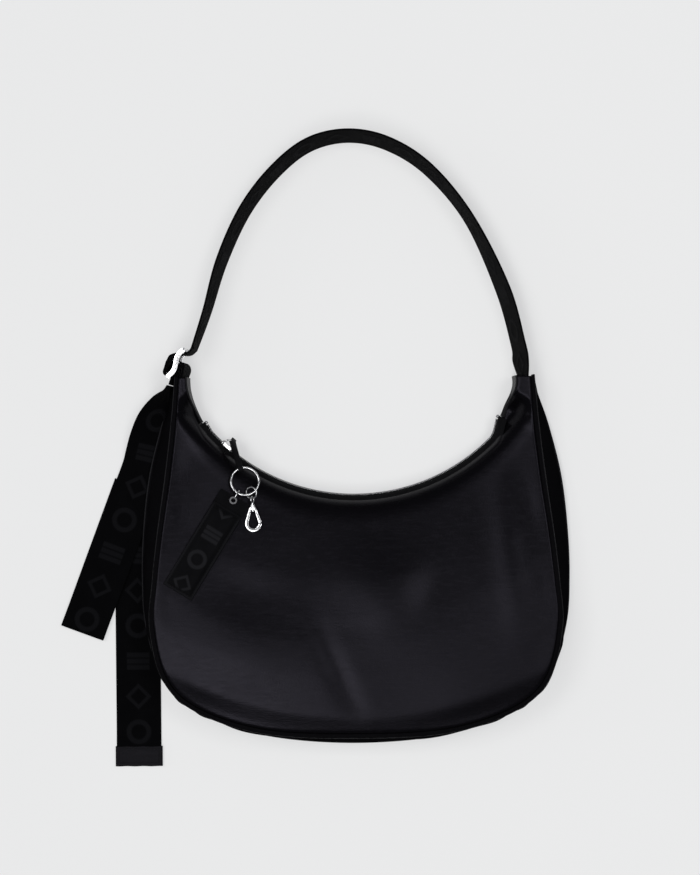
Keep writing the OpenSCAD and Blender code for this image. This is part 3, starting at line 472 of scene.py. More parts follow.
ARCH = [(1.022, 0, -13), (0.928, 0.26, -13), (0.722, 0.593, -7.5), (0.474, 0.826, -8.5), (0.222, 0.951, -9),
        (-0.03, 0.992, -9), (-0.275, 0.951, -10), (-0.487, 0.826, -10.5), (-0.677, 0.64, -10.5), (-0.823, 0.402, -9.5),
        (-0.916, 0.165, -6), (-0.989, 0, -3)]
WRAP = BUCKLE + WEB_W * np.array([
    (0.1542, 0.2025), (0.0392, 0.2105), (-0.1188, 0.1655), (-0.185, 0.0395), (-0.232, -0.1055), (-0.2558, -0.2005),
    (-0.1848, -0.2025), (-0.1168, -0.2215), (-0.0878, -0.2785), (-0.105, -0.35), (-0.13, -0.41), (-0.15, -0.475)])
TAIL = np.array([*BUCKLE, 0, 0]) + np.array([WEB_W, WEB_W, WEB_W, 1]) * np.array([
    (-0.155, -0.49, 0.57, -4), (-0.19, -0.668, 0.5, -16), (-0.33, -0.927, 0.4, -36),
    (-0.51, -1.286, 0.33, -54), (-0.625, -1.6575, 0.234, -68), (-0.715, -2.0265, 0.147, -82),
    (-0.83, -2.4215, 0.129, -90), (-1.295, -3.6055, 0.129, -90), (-2.1898, -5.9425, 0.129, -90)])
MOUTH_X = TIP_X - RIGHT_TIP_W / 2


def strap_arch():
    """The standing arch with both its feet, from inside the right tip to the slide."""
    arch = [(x * ARCH_HALF_W, HINGE_Y + y * ARCH_H, standing(a), a) for x, y, a in ARCH]
    arch[-1] = (*arch[-1][:2], LOOP_Z, arch[-1][3])
    root = [(MOUTH_X - 0.9, TIP_Y - 5, WEB_Z, -6), (MOUTH_X, TIP_Y + GAP, WEB_Z, -8),
            ((MOUTH_X + arch[0][0]) / 2, (TIP_Y + HINGE_Y) / 2, (WEB_Z + arch[0][2]) / 2, -15)]
    start = np.array(arch[-1][:2])
    down = unit(start - np.array(arch[-2][:2]))
    end = WRAP[0] - 2 * GAP * unit(WRAP[1] - WRAP[0])
    corner = start + down * (start[1] - end[1]) / -down[1]
    foot = [(*(start * (1 - t) ** 2 + 2 * corner * t * (1 - t) + end * t * t), LOOP_Z, arch[-1][3] * (1 - t))
            for t in (0.25, 0.5, 0.75, 1)]
    data = np.array(root + arch + foot)
    s = np.linspace(0, len(data) - 1, 520)
    c, up, face = web_frames(data[:, :3], data[:, 3], s)
    c[:, 2] += 0.35 * np.sin(s * 1.9) * smooth(s, 2.5, 5) * (1 - smooth(s, len(data) - 6, len(data) - 4))
    return webbing("strap_arch", c, up, face, motif=0.35)


def folded(centre, turn, low_z, from_a, to_a, sign, steps=14):
    """Sections of a tight fold: middle, width and face directions."""
    t = math.radians(turn)
    r = (WEB_T + GAP) / 2
    a = np.radians(np.linspace(from_a, to_a, steps))[:, None]
    out = np.hstack([-math.sin(t) * np.cos(a), math.cos(t) * np.cos(a), np.sin(a)])
    c = np.array([centre[0], centre[1], low_z + r]) + out * r
    width = np.repeat([[math.cos(t), math.sin(t), 0]], steps, 0)
    return c, width, out * sign


def layer_z(n):
    return GAP + WEB_T / 2 + n * (WEB_T + GAP)


FOLD_ONE, FOLD_TWO, TAIL_END = BUCKLE + WEB_W * np.array([(-2.1898, -5.9425), (-0.9768, -2.6655), (-0.9528, -8.9695)])


def strap_wrap():
    """The webbing's turn round the bars of the slide."""
    lean = np.interp(np.arange(len(WRAP)), [0, 2, 3, 5, 7, 11], [0, 0, 6, 7, 2, 0])
    data = np.array([(x + 0.25 * a, y, LOOP_Z, -a) for (x, y), a in zip(WRAP, lean)])
    s = np.linspace(0, len(data) - 1, 150)
    return webbing("strap_turn", *web_frames(data[:, :3], data[:, 3], s))


def tip_loop():
    """The webbing loop that holds the slide to the left tip."""
    path = [(0.118, -0.47, 5), (0.13, -0.36, 5), (0.165, -0.25, 5), (0.2, -0.14, 5), (0.187, -0.05, 3), (0.13, 0, 0),
            (0.075, -0.05, -3), (0.042, -0.14, -5), (0.022, -0.25, -5), (0.035, -0.36, -5), (0.05, -0.47, -5)]
    data = np.array([(*(BUCKLE + WEB_W * np.array([x, y])), LOOP_Z, a) for x, y, a in path])
    s = np.linspace(0, len(data) - 1, 120)
    return webbing("slide_loop", *web_frames(data[:, :3], data[:, 3], s))


def strap_tail():
    """The loose tail: upright at the slide, laid flat, then folded back and down again."""
    turn_one, turn_two, t = -20.4, -10.2, np.linspace(0.02, 0.98, 170)[:, None]
    parts = [evenly(TAIL[:, :3], TAIL[:, 3], 330), folded(FOLD_ONE, turn_one, layer_z(1), 90, 270, 1)]
    one, two = parts[1][0][-1], np.array([*FOLD_TWO, layer_z(1)])
    a = math.radians(turn_two)
    w = unit(parts[1][1][-1] * (1 - t) + np.array([math.cos(a), math.sin(a), 0]) * t)
    parts.append((one * (1 - t) + two * t, w, np.tile(-UP, (len(t), 1))))
    parts.append(folded(FOLD_TWO, turn_two, layer_z(0), 90, -90, -1))
    t = np.linspace(0.02, 1, 300)[:, None]
    flat = np.array([*FOLD_TWO, 0]) * (1 - t) + np.array([TAIL_END[0], TAIL_END[1] + CAP_LAP, 0]) * t
    flat[:, 2] = layer_z(0) + CAP_RISE * smooth(TAIL_END[1] + 2 * CAP_L - flat[:, 1], 0, CAP_L)
    a = a * (1 - smooth(t[:, 0], 0, 0.5))
    parts.append((flat, np.stack([np.cos(a), np.sin(a), 0 * a], 1), np.tile(UP, (len(t), 1))))
    c, up, face = (np.concatenate([p[k] for p in parts]) for k in range(3))
    return webbing("strap_tail_web", c, up, face, motif=0.6, phase=12)


# Hardware, zip and the small pieces

def tube(name, path, radius, sides=8):
    """A round tube along points in millimetres."""
    p = np.asarray(path, float)
    t = unit(np.gradient(p, axis=0))
    n = np.zeros_like(p)
    first = np.cross(t[0], UP)
    n[0] = unit(first if np.linalg.norm(first) > 1e-3 else np.cross(t[0], [1.0, 0, 0]))
    for i in range(1, len(p)):
        n[i] = unit(n[i - 1] - t[i] * (n[i - 1] @ t[i]))
    b = np.cross(t, n)
    a = np.linspace(0, 2 * math.pi, sides, endpoint=False)[None, :, None]
    rings = p[:, None] + (n[:, None] * np.cos(a) + b[:, None] * np.sin(a)) * radius
    return mesh_object(name, rings.reshape(-1, 3), tube_faces(*rings.shape[:2]))


def cad_copy(name, node, bevel):
    """A copy of a CAD node's mesh, welded, with its sharp edges rounded by the bevel in millimetres."""
    obj = put(name, nodes[node].data.copy())
    obj.data.materials.clear()
    bpy.context.view_layer.objects.active = obj
    obj.modifiers.new("Weld", "WELD").merge_threshold = 1e-6
    m = obj.modifiers.new("Bevel", "BEVEL")
    m.width, m.segments, m.limit_method, m.angle_limit = bevel * MM, 3, "ANGLE", math.radians(35)
    for m in list(obj.modifiers):
        with bpy.context.temp_override(object=obj, active_object=obj):
            bpy.ops.object.modifier_apply(modifier=m.name)
    obj.data.shade_smooth()
    obj.data.set_sharp_from_angle(angle=math.radians(40))
    return obj


TOOTH_PITCH, TOOTH_H = 2.5, 2.0
TEETH = int(2 * ZIP_HALF * math.pi * ZIP_R / 180 / TOOTH_PITCH) - 2
CHAIN_SEAT = TAPE_T / 2 + 0.03


def on_chain(a, depth, forward, off):
    """A point of the chain at angle a: so deep from the tape, so far along it and so far off its middle."""
    t, r = math.radians(a), ZIP_R - float(bent(a)) - CHAIN_SEAT - depth
    return (r * math.sin(t) + forward * math.cos(t), ZIP_CY - r * math.cos(t) + forward * math.sin(t), ZIP_Z + off)


def teeth(name, side):
    """A row of teeth on one tape; they mesh to the right of the slider and stand apart to its left."""
    step = TOOTH_PITCH / ZIP_R * 180 / math.pi
    half = [(-0.5, 0.25), (-0.62, 0.7), (-0.62, 1.25), (-0.42, 1.5), (-0.42, 2.6)]
    plan = half + [(-x, z) for x, z in half[::-1]]
    heights = [(0.0, 1.0), (0.75, 1.0), (0.95, 0.82), (1.0, 0.5)]
    verts, faces = [], []
    for i in range(TEETH):
        a = (i - TEETH / 2 + (0.25 if side > 0 else 0.75)) * step
        apart = a < SLIDER_ANGLE
        mid = 1.95 if apart else 0.8
        faces += tube_faces(len(heights), len(plan), base=len(verts))
        for h, shrink in heights:
            for x, z in plan:
                off = 1.3 + (z - 0.25) * 1.3 / 2.35 if apart else z * 3.6 / 2.6 - 1.25
                off = mid + (off - mid) * (0.6 + 0.4 * shrink)
                verts.append(on_chain(a, h * TOOTH_H, x * shrink * 1.05, side * off))
    return mesh_object(name, verts, faces)


def zip_stops():
    """The four pressed end stops of the chain."""
    inset, off = 0.44, 2.4
    plan = [(-1.2, -0.7), (-0.7, -1.2), (0.7, -1.2), (1.2, -0.7), (1.2, 0.7), (0.7, 1.2), (-0.7, 1.2), (-1.2, 0.7)]
    heights = [(0.0, 0.75), (0.35, 1.0), (1.6, 1.0), (2.0, 0.7)]
    verts, faces = [], []
    for a in (inset - ZIP_HALF, ZIP_HALF - inset):
        for side in (-1, 1):
            faces += tube_faces(len(heights), len(plan), base=len(verts))
            verts += [on_chain(a, h, x * grow, side * (off + z * grow)) for h, grow in heights for x, z in plan]
    return mesh_object("zip_end_stops", verts, faces)


def zip_tape(name, side):
    """A woven tape: flat behind the teeth with a corded edge, then sloping in under the leather's fold."""
    a = np.linspace(-ZIP_HALF, ZIP_HALF, 420)
    front = [(-0.3, 1.3), (-0.45, 1.45), (-0.42, 1.9), (-0.3, 2.1), (-0.3, 3.3), (-0.24, 4.1), (0.3, 4.95), (1.6, 6.1),
             (4.0, 8.4), (7.0, 11.0)]
    back = [(7.0, 10.42), (4.0, 7.8), (1.6, 5.5), (0.6, 4.6), (0.3, 3.9), (0.3, 2.1), (0.42, 1.9), (0.45, 1.45),
            (0.3, 1.3)]
    ring = np.array(front + back)
    wave = 0.08 * np.sin(a * 14)[:, None] * smooth(ring[:, 1], 4, 8)[None]
    r = ZIP_R + ring[None, :, 0] + wave
    p = on_arc(r, a[:, None] + 0 * r)
    z = ZIP_Z + side * (ring[:, 1][None] + wave)
    rings = np.concatenate([p, z[..., None]], -1)
    faces = tube_faces(*rings.shape[:2])
    if side > 0:
        faces = [f[::-1] for f in faces]
    uv = np.stack([np.radians(a)[:, None] * ZIP_R + 0 * r, 1.3 * np.arange(1, len(ring) + 1) + 0 * r], -1)
    return mesh_object(name, rings.reshape(-1, 3), faces, uv.reshape(-1, 2))


def tip_cover(name, side):
    """Folded leather from the end of the zip to the mouth of the tip."""
    steps, rows, clear_a, low_share = 40, 25, 0.4, 0.43
    near_swell, far_swell, ripple = 1.2, 0.2, 0.3
    q = np.linspace(0, 1, steps)
    a = (ZIP_HALF + clear_a + (tip_in(side)[1] - ZIP_HALF - clear_a) * q) * side
    w = q ** 1.5
    r = inner_r(a) - (1 * (1 - w) + LEATHER_T * w)
    p = on_arc(r, a)
    top = front_z(on_arc(inner_r(a), a))
    low = low_share * ZIP_Z * (1 - w) + GAP * w
    v = np.linspace(0, 1, rows)
    bow = np.sin(np.pi * v)[None]
    bulge = (near_swell * (1 - w) + far_swell * w)[:, None] * bow
    bulge = bulge + ripple * (np.sin(q * 17) * (1 - w))[:, None] * bow ** 2
    out = on_arc(np.ones(steps), a) - np.array([0, ZIP_CY])
    xy = p[:, None] - out[:, None] * bulge[..., None]
    z = low[:, None] + (top - low)[:, None] * v[None]
    g = np.concatenate([xy, z[..., None]], -1)
    n = grid_normals(g, -np.concatenate([out, np.zeros((steps, 1))], 1)[:, None])
    g = g + n * LEATHER_T / 2
    g, n = (g, n) if side > 0 else (g[:, ::-1], n[:, ::-1])
    return leaf(name, g, n, LEATHER_T)


def ring_frame():
    """Middle of the split ring and its three axes."""
    a, t = math.radians(RING_ANGLE), math.radians(RING_TILT)
    c = np.append(on_arc(ZIP_R + RING_REACH, RING_ANGLE), RING_Z)
    x = np.array([math.cos(a), math.sin(a), 0])
    y = np.array([-math.sin(a) * math.cos(t), math.cos(a) * math.cos(t), -math.sin(t)])
    return c, x, y, np.cross(x, y)


def pull_loop():
    """The leather pull: one strip through the bail and the split ring, twisting on its way."""
    wire, bail_r, t_pull, w_pull, plate_t = 1.4, 4.2, 1.0, 4.4, 1.2
    rise, slack, waist, coil_share = 12.0, 0.5, 1.2, 0.975
    plate_top = TAPE_T / 2 + TOOTH_H + GAP + GAP / 3 + plate_t
    start = np.append(on_arc(ZIP_R - plate_top - bail_r, SLIDER_ANGLE), ZIP_Z)
    c, x, y, _ = ring_frame()
    grip, mid = math.radians(140.3), (RING_D - RING_WIRE) / 2
    end = c + x * mid * math.cos(grip) + y * mid * math.sin(grip)
    a = math.radians(SLIDER_ANGLE)
    side_a, side_b = np.array([math.cos(a), math.sin(a), 0]), x * math.sin(grip) - y * math.cos(grip)
    bend = start + rise * UP
    hold_a = wire / 2 + GAP + t_pull / 2 + slack
    hold_b = math.hypot(RING_WIRE / 2, RING_WIRE * coil_share) + GAP + t_pull / 2

    ang = np.linspace(0, 2 * math.pi, 16, endpoint=False)[:, None]
    cx, cy = (np.copysign(np.abs(f(ang)) ** 0.5, f(ang)) for f in (np.cos, np.sin))

    def section(q, turn):
        """A rounded cross section at the share q of the way, on the side of the loop that the turn tells."""
        d = unit((bend - start) * (1 - q) + (end - bend) * q)
        w = unit(side_a * (1 - q) + side_b * q)
        w = unit(w - d * (w @ d))
        u = np.cross(d, w) * math.cos(turn) + d * math.sin(turn)
        m = (start * (1 - q) + bend * q) * (1 - q) + (bend * (1 - q) + end * q) * q
        h = hold_a * (1 - q) + hold_b * q - waist * math.sin(math.pi * q)
        return m + u * (h + cy * t_pull / 2) + w * cx * w_pull / 2
    turns, runs = np.linspace(0.2, math.pi - 0.2, 12), np.linspace(0, 1, 24)
    rings = [section(q, 0) for q in runs] + [section(1, t) for t in turns]
    rings += [section(q, math.pi) for q in runs[::-1]] + [section(0, math.pi + t) for t in turns]
    n, m = len(ang), len(rings)
    faces = tube_faces(m, n, False)
    faces += [((m - 1) * n + j, (m - 1) * n + (j + 1) % n, (j + 1) % n, j) for j in range(n)]
    return mesh_object("zip_pull", np.reshape(rings, (-1, 3)), faces)


def fob_place():
    """The fob's eyelet centre and its turn: its length runs down from there."""
    link_off, link_r, link_rise = 2.2, 4.65, 0.7
    mid, t = (RING_D - RING_WIRE) / 2, math.radians(RING_TILT)
    at = ZIP_R + RING_REACH + mid * math.cos(t) + link_off + link_r * math.cos(math.asin(link_rise / link_r))
    return on_arc(at, RING_ANGLE), RING_Z + mid * math.sin(t) + link_rise


def walk(corners):
    """Points about a millimetre apart along the straight lines between corners."""
    c = np.array(corners, float)
    legs = [np.linspace(a, b, max(2, int(np.linalg.norm(b - a))), endpoint=False) for a, b in zip(c[:-1], c[1:])]
    return np.concatenate(legs + [c[-1:]])


def fob_pad():
    """The padded webbing fob: a tab with the eyelet, then a crowned pad with a flat sewn border and a raised motif."""
    centre, tab_z = fob_place()
    length, width, thick, tab = 92.0, 27.3, 5.4, 2.4
    top, hole_r, seam_in, seam_y = 3.4, 3.4, 2.2, -9.5
    near_z, far_z, arch = tab_z - tab / 2, 52.6, 1.1
    u = np.concatenate([np.linspace(0, 0.2, 34), np.linspace(0.21, 0.965, 110), np.linspace(0.97, 1, 12)])
    v = np.concatenate([np.linspace(-0.5, -0.47, 5), np.linspace(-0.46, 0.46, 55), np.linspace(0.47, 0.5, 5)])
    low_z = np.interp(u, [0, 0.09, 0.16, 1], [near_z, near_z, near_z * 0.76 + far_z * 0.24, far_z])
    low_z = low_z + arch * np.sin(np.pi * np.clip((u - 0.16) / 0.84, 0, 1))
    share = smooth(u, 0.1, 0.2)
    body = share[:, None]
    from_end = np.minimum((1 - u) * length, np.where(u > 0.12, (u - 0.12) * length, 0))
    inset = np.minimum((0.5 - np.abs(v)) * width, from_end[:, None])

    def crown(depth):
        return thick * (0.42 + 0.58 * smooth(depth, 1.6, 6.0))
    border = 1 - relief(inset, 0, 0.7, 0.55)
    t = (tab * (1 - body) + crown(inset) * body) * border * (1 - relief(inset, seam_in, 0.45, 0.12) * body)
    x, y = v * width + 0 * body, (top - u * length)[:, None] + 0 * v
    from_foot = y + length - top
    panel = smooth(inset, 3.0, 4.2) * body
    mark = bumps(from_foot * 1.28 + 4, x * 1.28) * panel
    belly = 0.25 * np.sin(from_foot / 9.0) * panel
    ca, sa = math.cos(math.radians(RING_ANGLE)), math.sin(math.radians(RING_ANGLE))

    def placed(x, y, z):
        """Points of the fob in the frame, from x across it and y along it from the eyelet."""
        return np.stack([centre[0] + x * ca - y * sa, centre[1] + x * sa + y * ca, z], -1)
    over = placed(x, y, low_z[:, None] + t + 0.8 * mark + belly)
    under = placed(x, y, low_z[:, None] + 0.1 * thick * (1 - border))
    solid = np.hypot(x, y) > hole_r
    keep = solid[:-1, :-1] & solid[1:, 1:] & solid[1:, :-1] & solid[:-1, 1:]
    uv = np.stack([y, x], -1).reshape(-1, 2)
    # The motif and the ridge inside the sewn border are marked as raised, so that the material paints them paler as a
    # painted highlight.
    raised = np.concatenate([np.maximum(mark, relief(inset, 1.0, 0.7, 0.7) * body), 0 * mark])
    pad = mesh_object("fob_pad", np.stack([over, under]).reshape(-1, 3), pillow_faces(u.size, v.size, keep),
                      np.concatenate([uv, uv]), raised)
    side, foot = width / 2 - seam_in, top - length + seam_in
    line = walk([(-side, seam_y), (-side, foot), (side, foot), (side, seam_y), (-side, seam_y)])
    at = (top - line[:, 1]) / length
    low, here = np.interp(at, u, low_z), np.interp(at, u, share)
    z = low + np.maximum(0.9 * crown(seam_in) * here, tab * (1 - here))
    return pad, thread("fob_stitches", placed(line[:, 0], line[:, 1], z), UP, 2.8, 2.0, 0.22, 0.05)


def end_cap():
    """The leather end cap of the tail, folded over the webbing and sewn round in a rectangle."""
    half, wall, seam_in = WEB_W / 2 + 0.9, WEB_T / 2 + 0.9, 2.4
    x0, y0, z0 = *TAIL_END, layer_z(0) + CAP_RISE
    u, v = np.linspace(0, 1, 26)[:, None], np.linspace(-1, 1, 61)[None]
    swell = wall * (0.45 + 0.55 * smooth(u, 0, 0.05)) * (0.62 + 0.38 * (1 - np.abs(v) ** 26))
    inset = np.minimum(np.minimum(u, 1 - u) * CAP_L, half * (1 - np.abs(v)))
    x, y = x0 + v * half + 0 * u, y0 + CAP_L * u + 0.12 * np.sin(v * 9)
    over = np.stack([x, y, z0 + swell * (1 - relief(inset, seam_in, 0.6, 0.16))], -1)
    under = np.stack([x, y, z0 - 0.95 * swell], -1)
    cap = mesh_object("tail_cap", np.stack([over, under]).reshape(-1, 3), pillow_faces(u.size, v.size, flip=True))
    side, low, high = half - seam_in, y0 + seam_in, y0 + CAP_L - seam_in
    line = walk([(x0 - side, low), (x0 + side, low), (x0 + side, high), (x0 - side, high), (x0 - side, low)])
    points = np.column_stack([line, np.full(len(line), z0 + 0.84 * wall)])
    return cap, thread("cap_stitches", points, UP, 2.9, 2.1, 0.22, 0.08)


# Materials

class Shader:
    """A small builder of node materials."""

    def __init__(self, name, **values):
        self.mat = bpy.data.materials.new(name)
        self.mat.use_nodes = True
        self.tree = self.mat.node_tree
        self.bsdf = self.tree.nodes["Principled BSDF"]
        for key, value in values.items():
            self.bsdf.inputs[key.replace("_", " ")].default_value = value
        self.coord = self.tree.nodes.new("ShaderNodeTexCoord")

    def node(self, kind, inputs=None, **props):
        n = self.tree.nodes.new("ShaderNode" + kind)
        for key, value in props.items():
            setattr(n, key, value)
        for key, value in (inputs or {}).items():
            if isinstance(value, bpy.types.NodeSocket):
                self.tree.links.new(value, n.inputs[key])
            else:
                n.inputs[key].default_value = value
        return n

    def scaled(self, source, scale):
        return self.node("Mapping", {"Vector": self.coord.outputs[source], "Scale": scale}).outputs["Vector"]

    def noise(self, source, scale, detail=3.0, rough=0.55, stretch=(1, 1, 1)):
        v = self.scaled(source, stretch)
        return self.node("TexNoise", {"Vector": v, "Scale": scale, "Detail": detail, "Roughness": rough}).outputs["Fac"]

    def axes(self, source):
        return self.node("SeparateXYZ", {"Vector": self.coord.outputs[source]}).outputs

    def wave(self, along, pitch):
        return self.math("SINE", self.math("MULTIPLY", along, 2 * math.pi / pitch))

    def ramp(self, fac, low, high, a, b):
        n = self.node("MapRange", {"Value": fac, "From Min": low, "From Max": high, "To Min": a, "To Max": b})
        return n.outputs["Result"]

    def math(self, op, a, b=0.0):
        return self.node("Math", {0: a, 1: b}, operation=op).outputs[0]

    def colour(self, fac, a, b):
        n = self.node("Mix", {"Factor": fac}, data_type="RGBA")
        n.inputs["A"].default_value, n.inputs["B"].default_value = (*a, 1), (*b, 1)
        return n.outputs["Result"]

    def bump(self, height, distance, strength=1.0, normal=None):
        inputs = {"Height": height, "Distance": distance, "Strength": strength}
        if normal is not None:
            inputs["Normal"] = normal
        return self.node("Bump", inputs).outputs["Normal"]

    def finish(self, **links):
        for key, value in links.items():
            self.tree.links.new(value, self.bsdf.inputs[key.replace("_", " ")])
        return self.mat


def leather_material(name, dark, light, rough=(0.3, 0.38), grain=1.0, gloss=0.035):
    """Fine-grain leather: small flat pebbles, pores and a faint drawn grain, with painted shade in the hollows between
    the pebbles.
    """
    s = Shader(name, Specular_IOR_Level=gloss, Specular_Tint=(0.84, 0.8, 1, 1))
    pebbles = s.node("TexVoronoi", {"Vector": s.scaled("Object", (1.0, 1.25, 1.0)), "Scale": 1050.0, "Smoothness": 0.6},
                     feature="SMOOTH_F1").outputs["Distance"]
    fine = s.noise("Object", 2600.0, 2.0)
    drawn = s.noise("Object", 260.0, 4.0, 0.6, (0.35, 1.6, 1.0))
    broad = s.noise("Object", 22.0, 3.0)
    n1 = s.bump(broad, 0.0012, 0.12)
    n2 = s.bump(drawn, 0.0003, 0.22 * grain, n1)
    n3 = s.bump(pebbles, 0.00016, 0.35 * grain, n2)
    n4 = s.bump(fine, 0.00004, 0.25 * grain, n3)
    # Colour darker towards the pebbles' edges: painted shade in the grain's hollows; the broad noise is an uneven tone
    # of the leather.
    mix = s.math("MULTIPLY", s.ramp(pebbles, 0.0, 0.7, 1.0, 0.35), s.ramp(broad, 0.3, 0.7, 0.75, 1.0))
    return s.finish(Base_Color=s.colour(mix, dark, light), Normal=n4, Roughness=s.ramp(drawn, 0.3, 0.7, *rough))


def woven_material(name, dark, light, ribs=(0.0011, 0.00075), sheen=0.01, rough=0.7, raised_highlight=1.7):
    """Woven webbing or tape: raised picks that alternate along the UV grid, a soft sheen, and a painted highlight that
    makes it paler on its raised picks and its raised motif.
    """
    s = Shader(name, Roughness=rough, Specular_IOR_Level=0.008, Sheen_Weight=sheen, Sheen_Roughness=0.4)
    uv = s.axes("UV")
    a, b = s.wave(uv["X"], ribs[0]), s.wave(uv["Y"], ribs[1])
    weave = s.math("MULTIPLY", s.math("MULTIPLY", a, b), 0.5)
    height = s.math("ADD", weave, s.math("MULTIPLY", s.math("ABSOLUTE", a), 0.35))
    fibre = s.noise("Object", 3200.0, 2.0)
    patch = s.noise("Object", 90.0, 3.0)
    n1 = s.bump(height, 0.00022, 0.8)
    n2 = s.bump(fibre, 0.00008, 0.5, n1)
    # Paler on the raised picks and darker between them: painted light and shade in the weave; the patch noise is an
    # uneven tone.
    mix = s.math("MULTIPLY", s.ramp(height, -0.5, 0.85, 0.3, 1.0), s.ramp(patch, 0.3, 0.7, 0.7, 1.0))
    # Where the raised motif stands, the light colour is made brighter still by the last argument: a painted highlight
    # on the motif's relief.
    mark = s.node("Attribute", attribute_name="raised").outputs["Fac"]
    base = s.node("Mix", {"Factor": mark}, data_type="RGBA")
    s.tree.links.new(s.colour(mix, dark, light), base.inputs["A"])
    base.inputs["B"].default_value = (*(raised_highlight * v for v in light), 1)
    return s.finish(Base_Color=base.outputs["Result"], Normal=n2)


def metal_material(name, dark, light, rough=(0.12, 0.24)):
    """Plated metal with faint brushing and handling marks."""
    s = Shader(name, Metallic=1.0)
    brushed = s.noise("Object", 420.0, 4.0, 0.6, (1.0, 1.0, 5.0))
    marks = s.noise("Object", 1800.0, 3.0)
    normal = s.bump(marks, 0.00001, 0.25)
    return s.finish(Base_Color=s.colour(brushed, dark, light), Normal=normal,
                    Roughness=s.ramp(brushed, 0.3, 0.7, *rough))


def cloth_material(name, dark, light):
    """Plain woven cloth that doesn't need UVs."""
    s = Shader(name, Roughness=0.85, Sheen_Weight=0.2, Sheen_Roughness=0.5)
    p, pitch = s.axes("Object"), 0.0009
    w = s.math("MULTIPLY", s.wave(p["X"], pitch), s.wave(p["Y"], pitch))
    # The colour follows the weave's height, paler on the raised threads: painted shade in the weave.
    return s.finish(Base_Color=s.colour(s.ramp(w, -1, 1, 0.2, 1.0), dark, light), Normal=s.bump(w, 0.00012, 0.6))


LEATHER = leather_material("leather", (0.0012, 0.0011, 0.0014), (0.0032, 0.003, 0.0038), (0.22, 0.3), gloss=0.07)
# The gusset's leather is the same black leather made paler and without gloss: a painted sheen standing in for the light
# that it catches.
LEATHER_SIDE_PAINTED_LIGHT = leather_material("leather_side_painted_light", (0.002, 0.0019, 0.0023), (0.0052, 0.005, 0.0058), (0.4, 0.5), 0.8, 0.0)
# A paler copy of the black leather: a painted highlight, used on the tail's end cap and the zip pull.
LEATHER_PAINTED_HIGHLIGHT = leather_material("leather_painted_highlight", (0.003, 0.003, 0.0034), (0.008, 0.0078, 0.0086), (0.4, 0.5), 0.7)
# A much paler copy of the black leather: painted highlights along the seam ridges and the tips' inner sides.
LEATHER_PAINTED_GLINT = leather_material("leather_painted_glint", (0.006, 0.006, 0.0066), (0.018, 0.0178, 0.019), (0.4, 0.5), 0.7)
WEBBING = woven_material("webbing", (0.0008, 0.0008, 0.001), (0.0031, 0.0031, 0.0036))
FOB_WEB = woven_material("fob_webbing", (0.0016, 0.0016, 0.0019), (0.0074, 0.0074, 0.0084), (0.0009, 0.0007))
TAPE = woven_material("zip_tape", (0.002, 0.002, 0.0023), (0.008, 0.008, 0.0088), (0.0009, 0.0012), 0.03)
THREAD = woven_material("thread", (0.004, 0.004, 0.0045), (0.016, 0.016, 0.0175), (0.0005, 0.0005), 0.02, 0.6)
CHROME = metal_material("chrome", (0.5, 0.5, 0.51), (0.68, 0.68, 0.69))
NICKEL = metal_material("nickel", (0.3, 0.3, 0.305), (0.5, 0.5, 0.505), (0.2, 0.34))
GUNMETAL = metal_material("gunmetal", (0.16, 0.16, 0.165), (0.36, 0.36, 0.37), (0.25, 0.42))
DARK_METAL = metal_material("dark_metal", (0.03, 0.03, 0.032), (0.07, 0.07, 0.073), (0.3, 0.42))
LINING = cloth_material("lining", (0.003, 0.003, 0.004), (0.012, 0.012, 0.015))


def dress(obj, material, body, slot, *replaced):
    """Gives a piece its material and body and hides the CAD nodes that it stands for; the slot is not used."""
    obj.data.materials.clear()
    obj.data.materials.append(material)
    for poly in obj.data.polygons:
        poly.material_index = 0
    if body:
        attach(obj, body)
    if replaced:
        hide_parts(*replaced)
    return obj


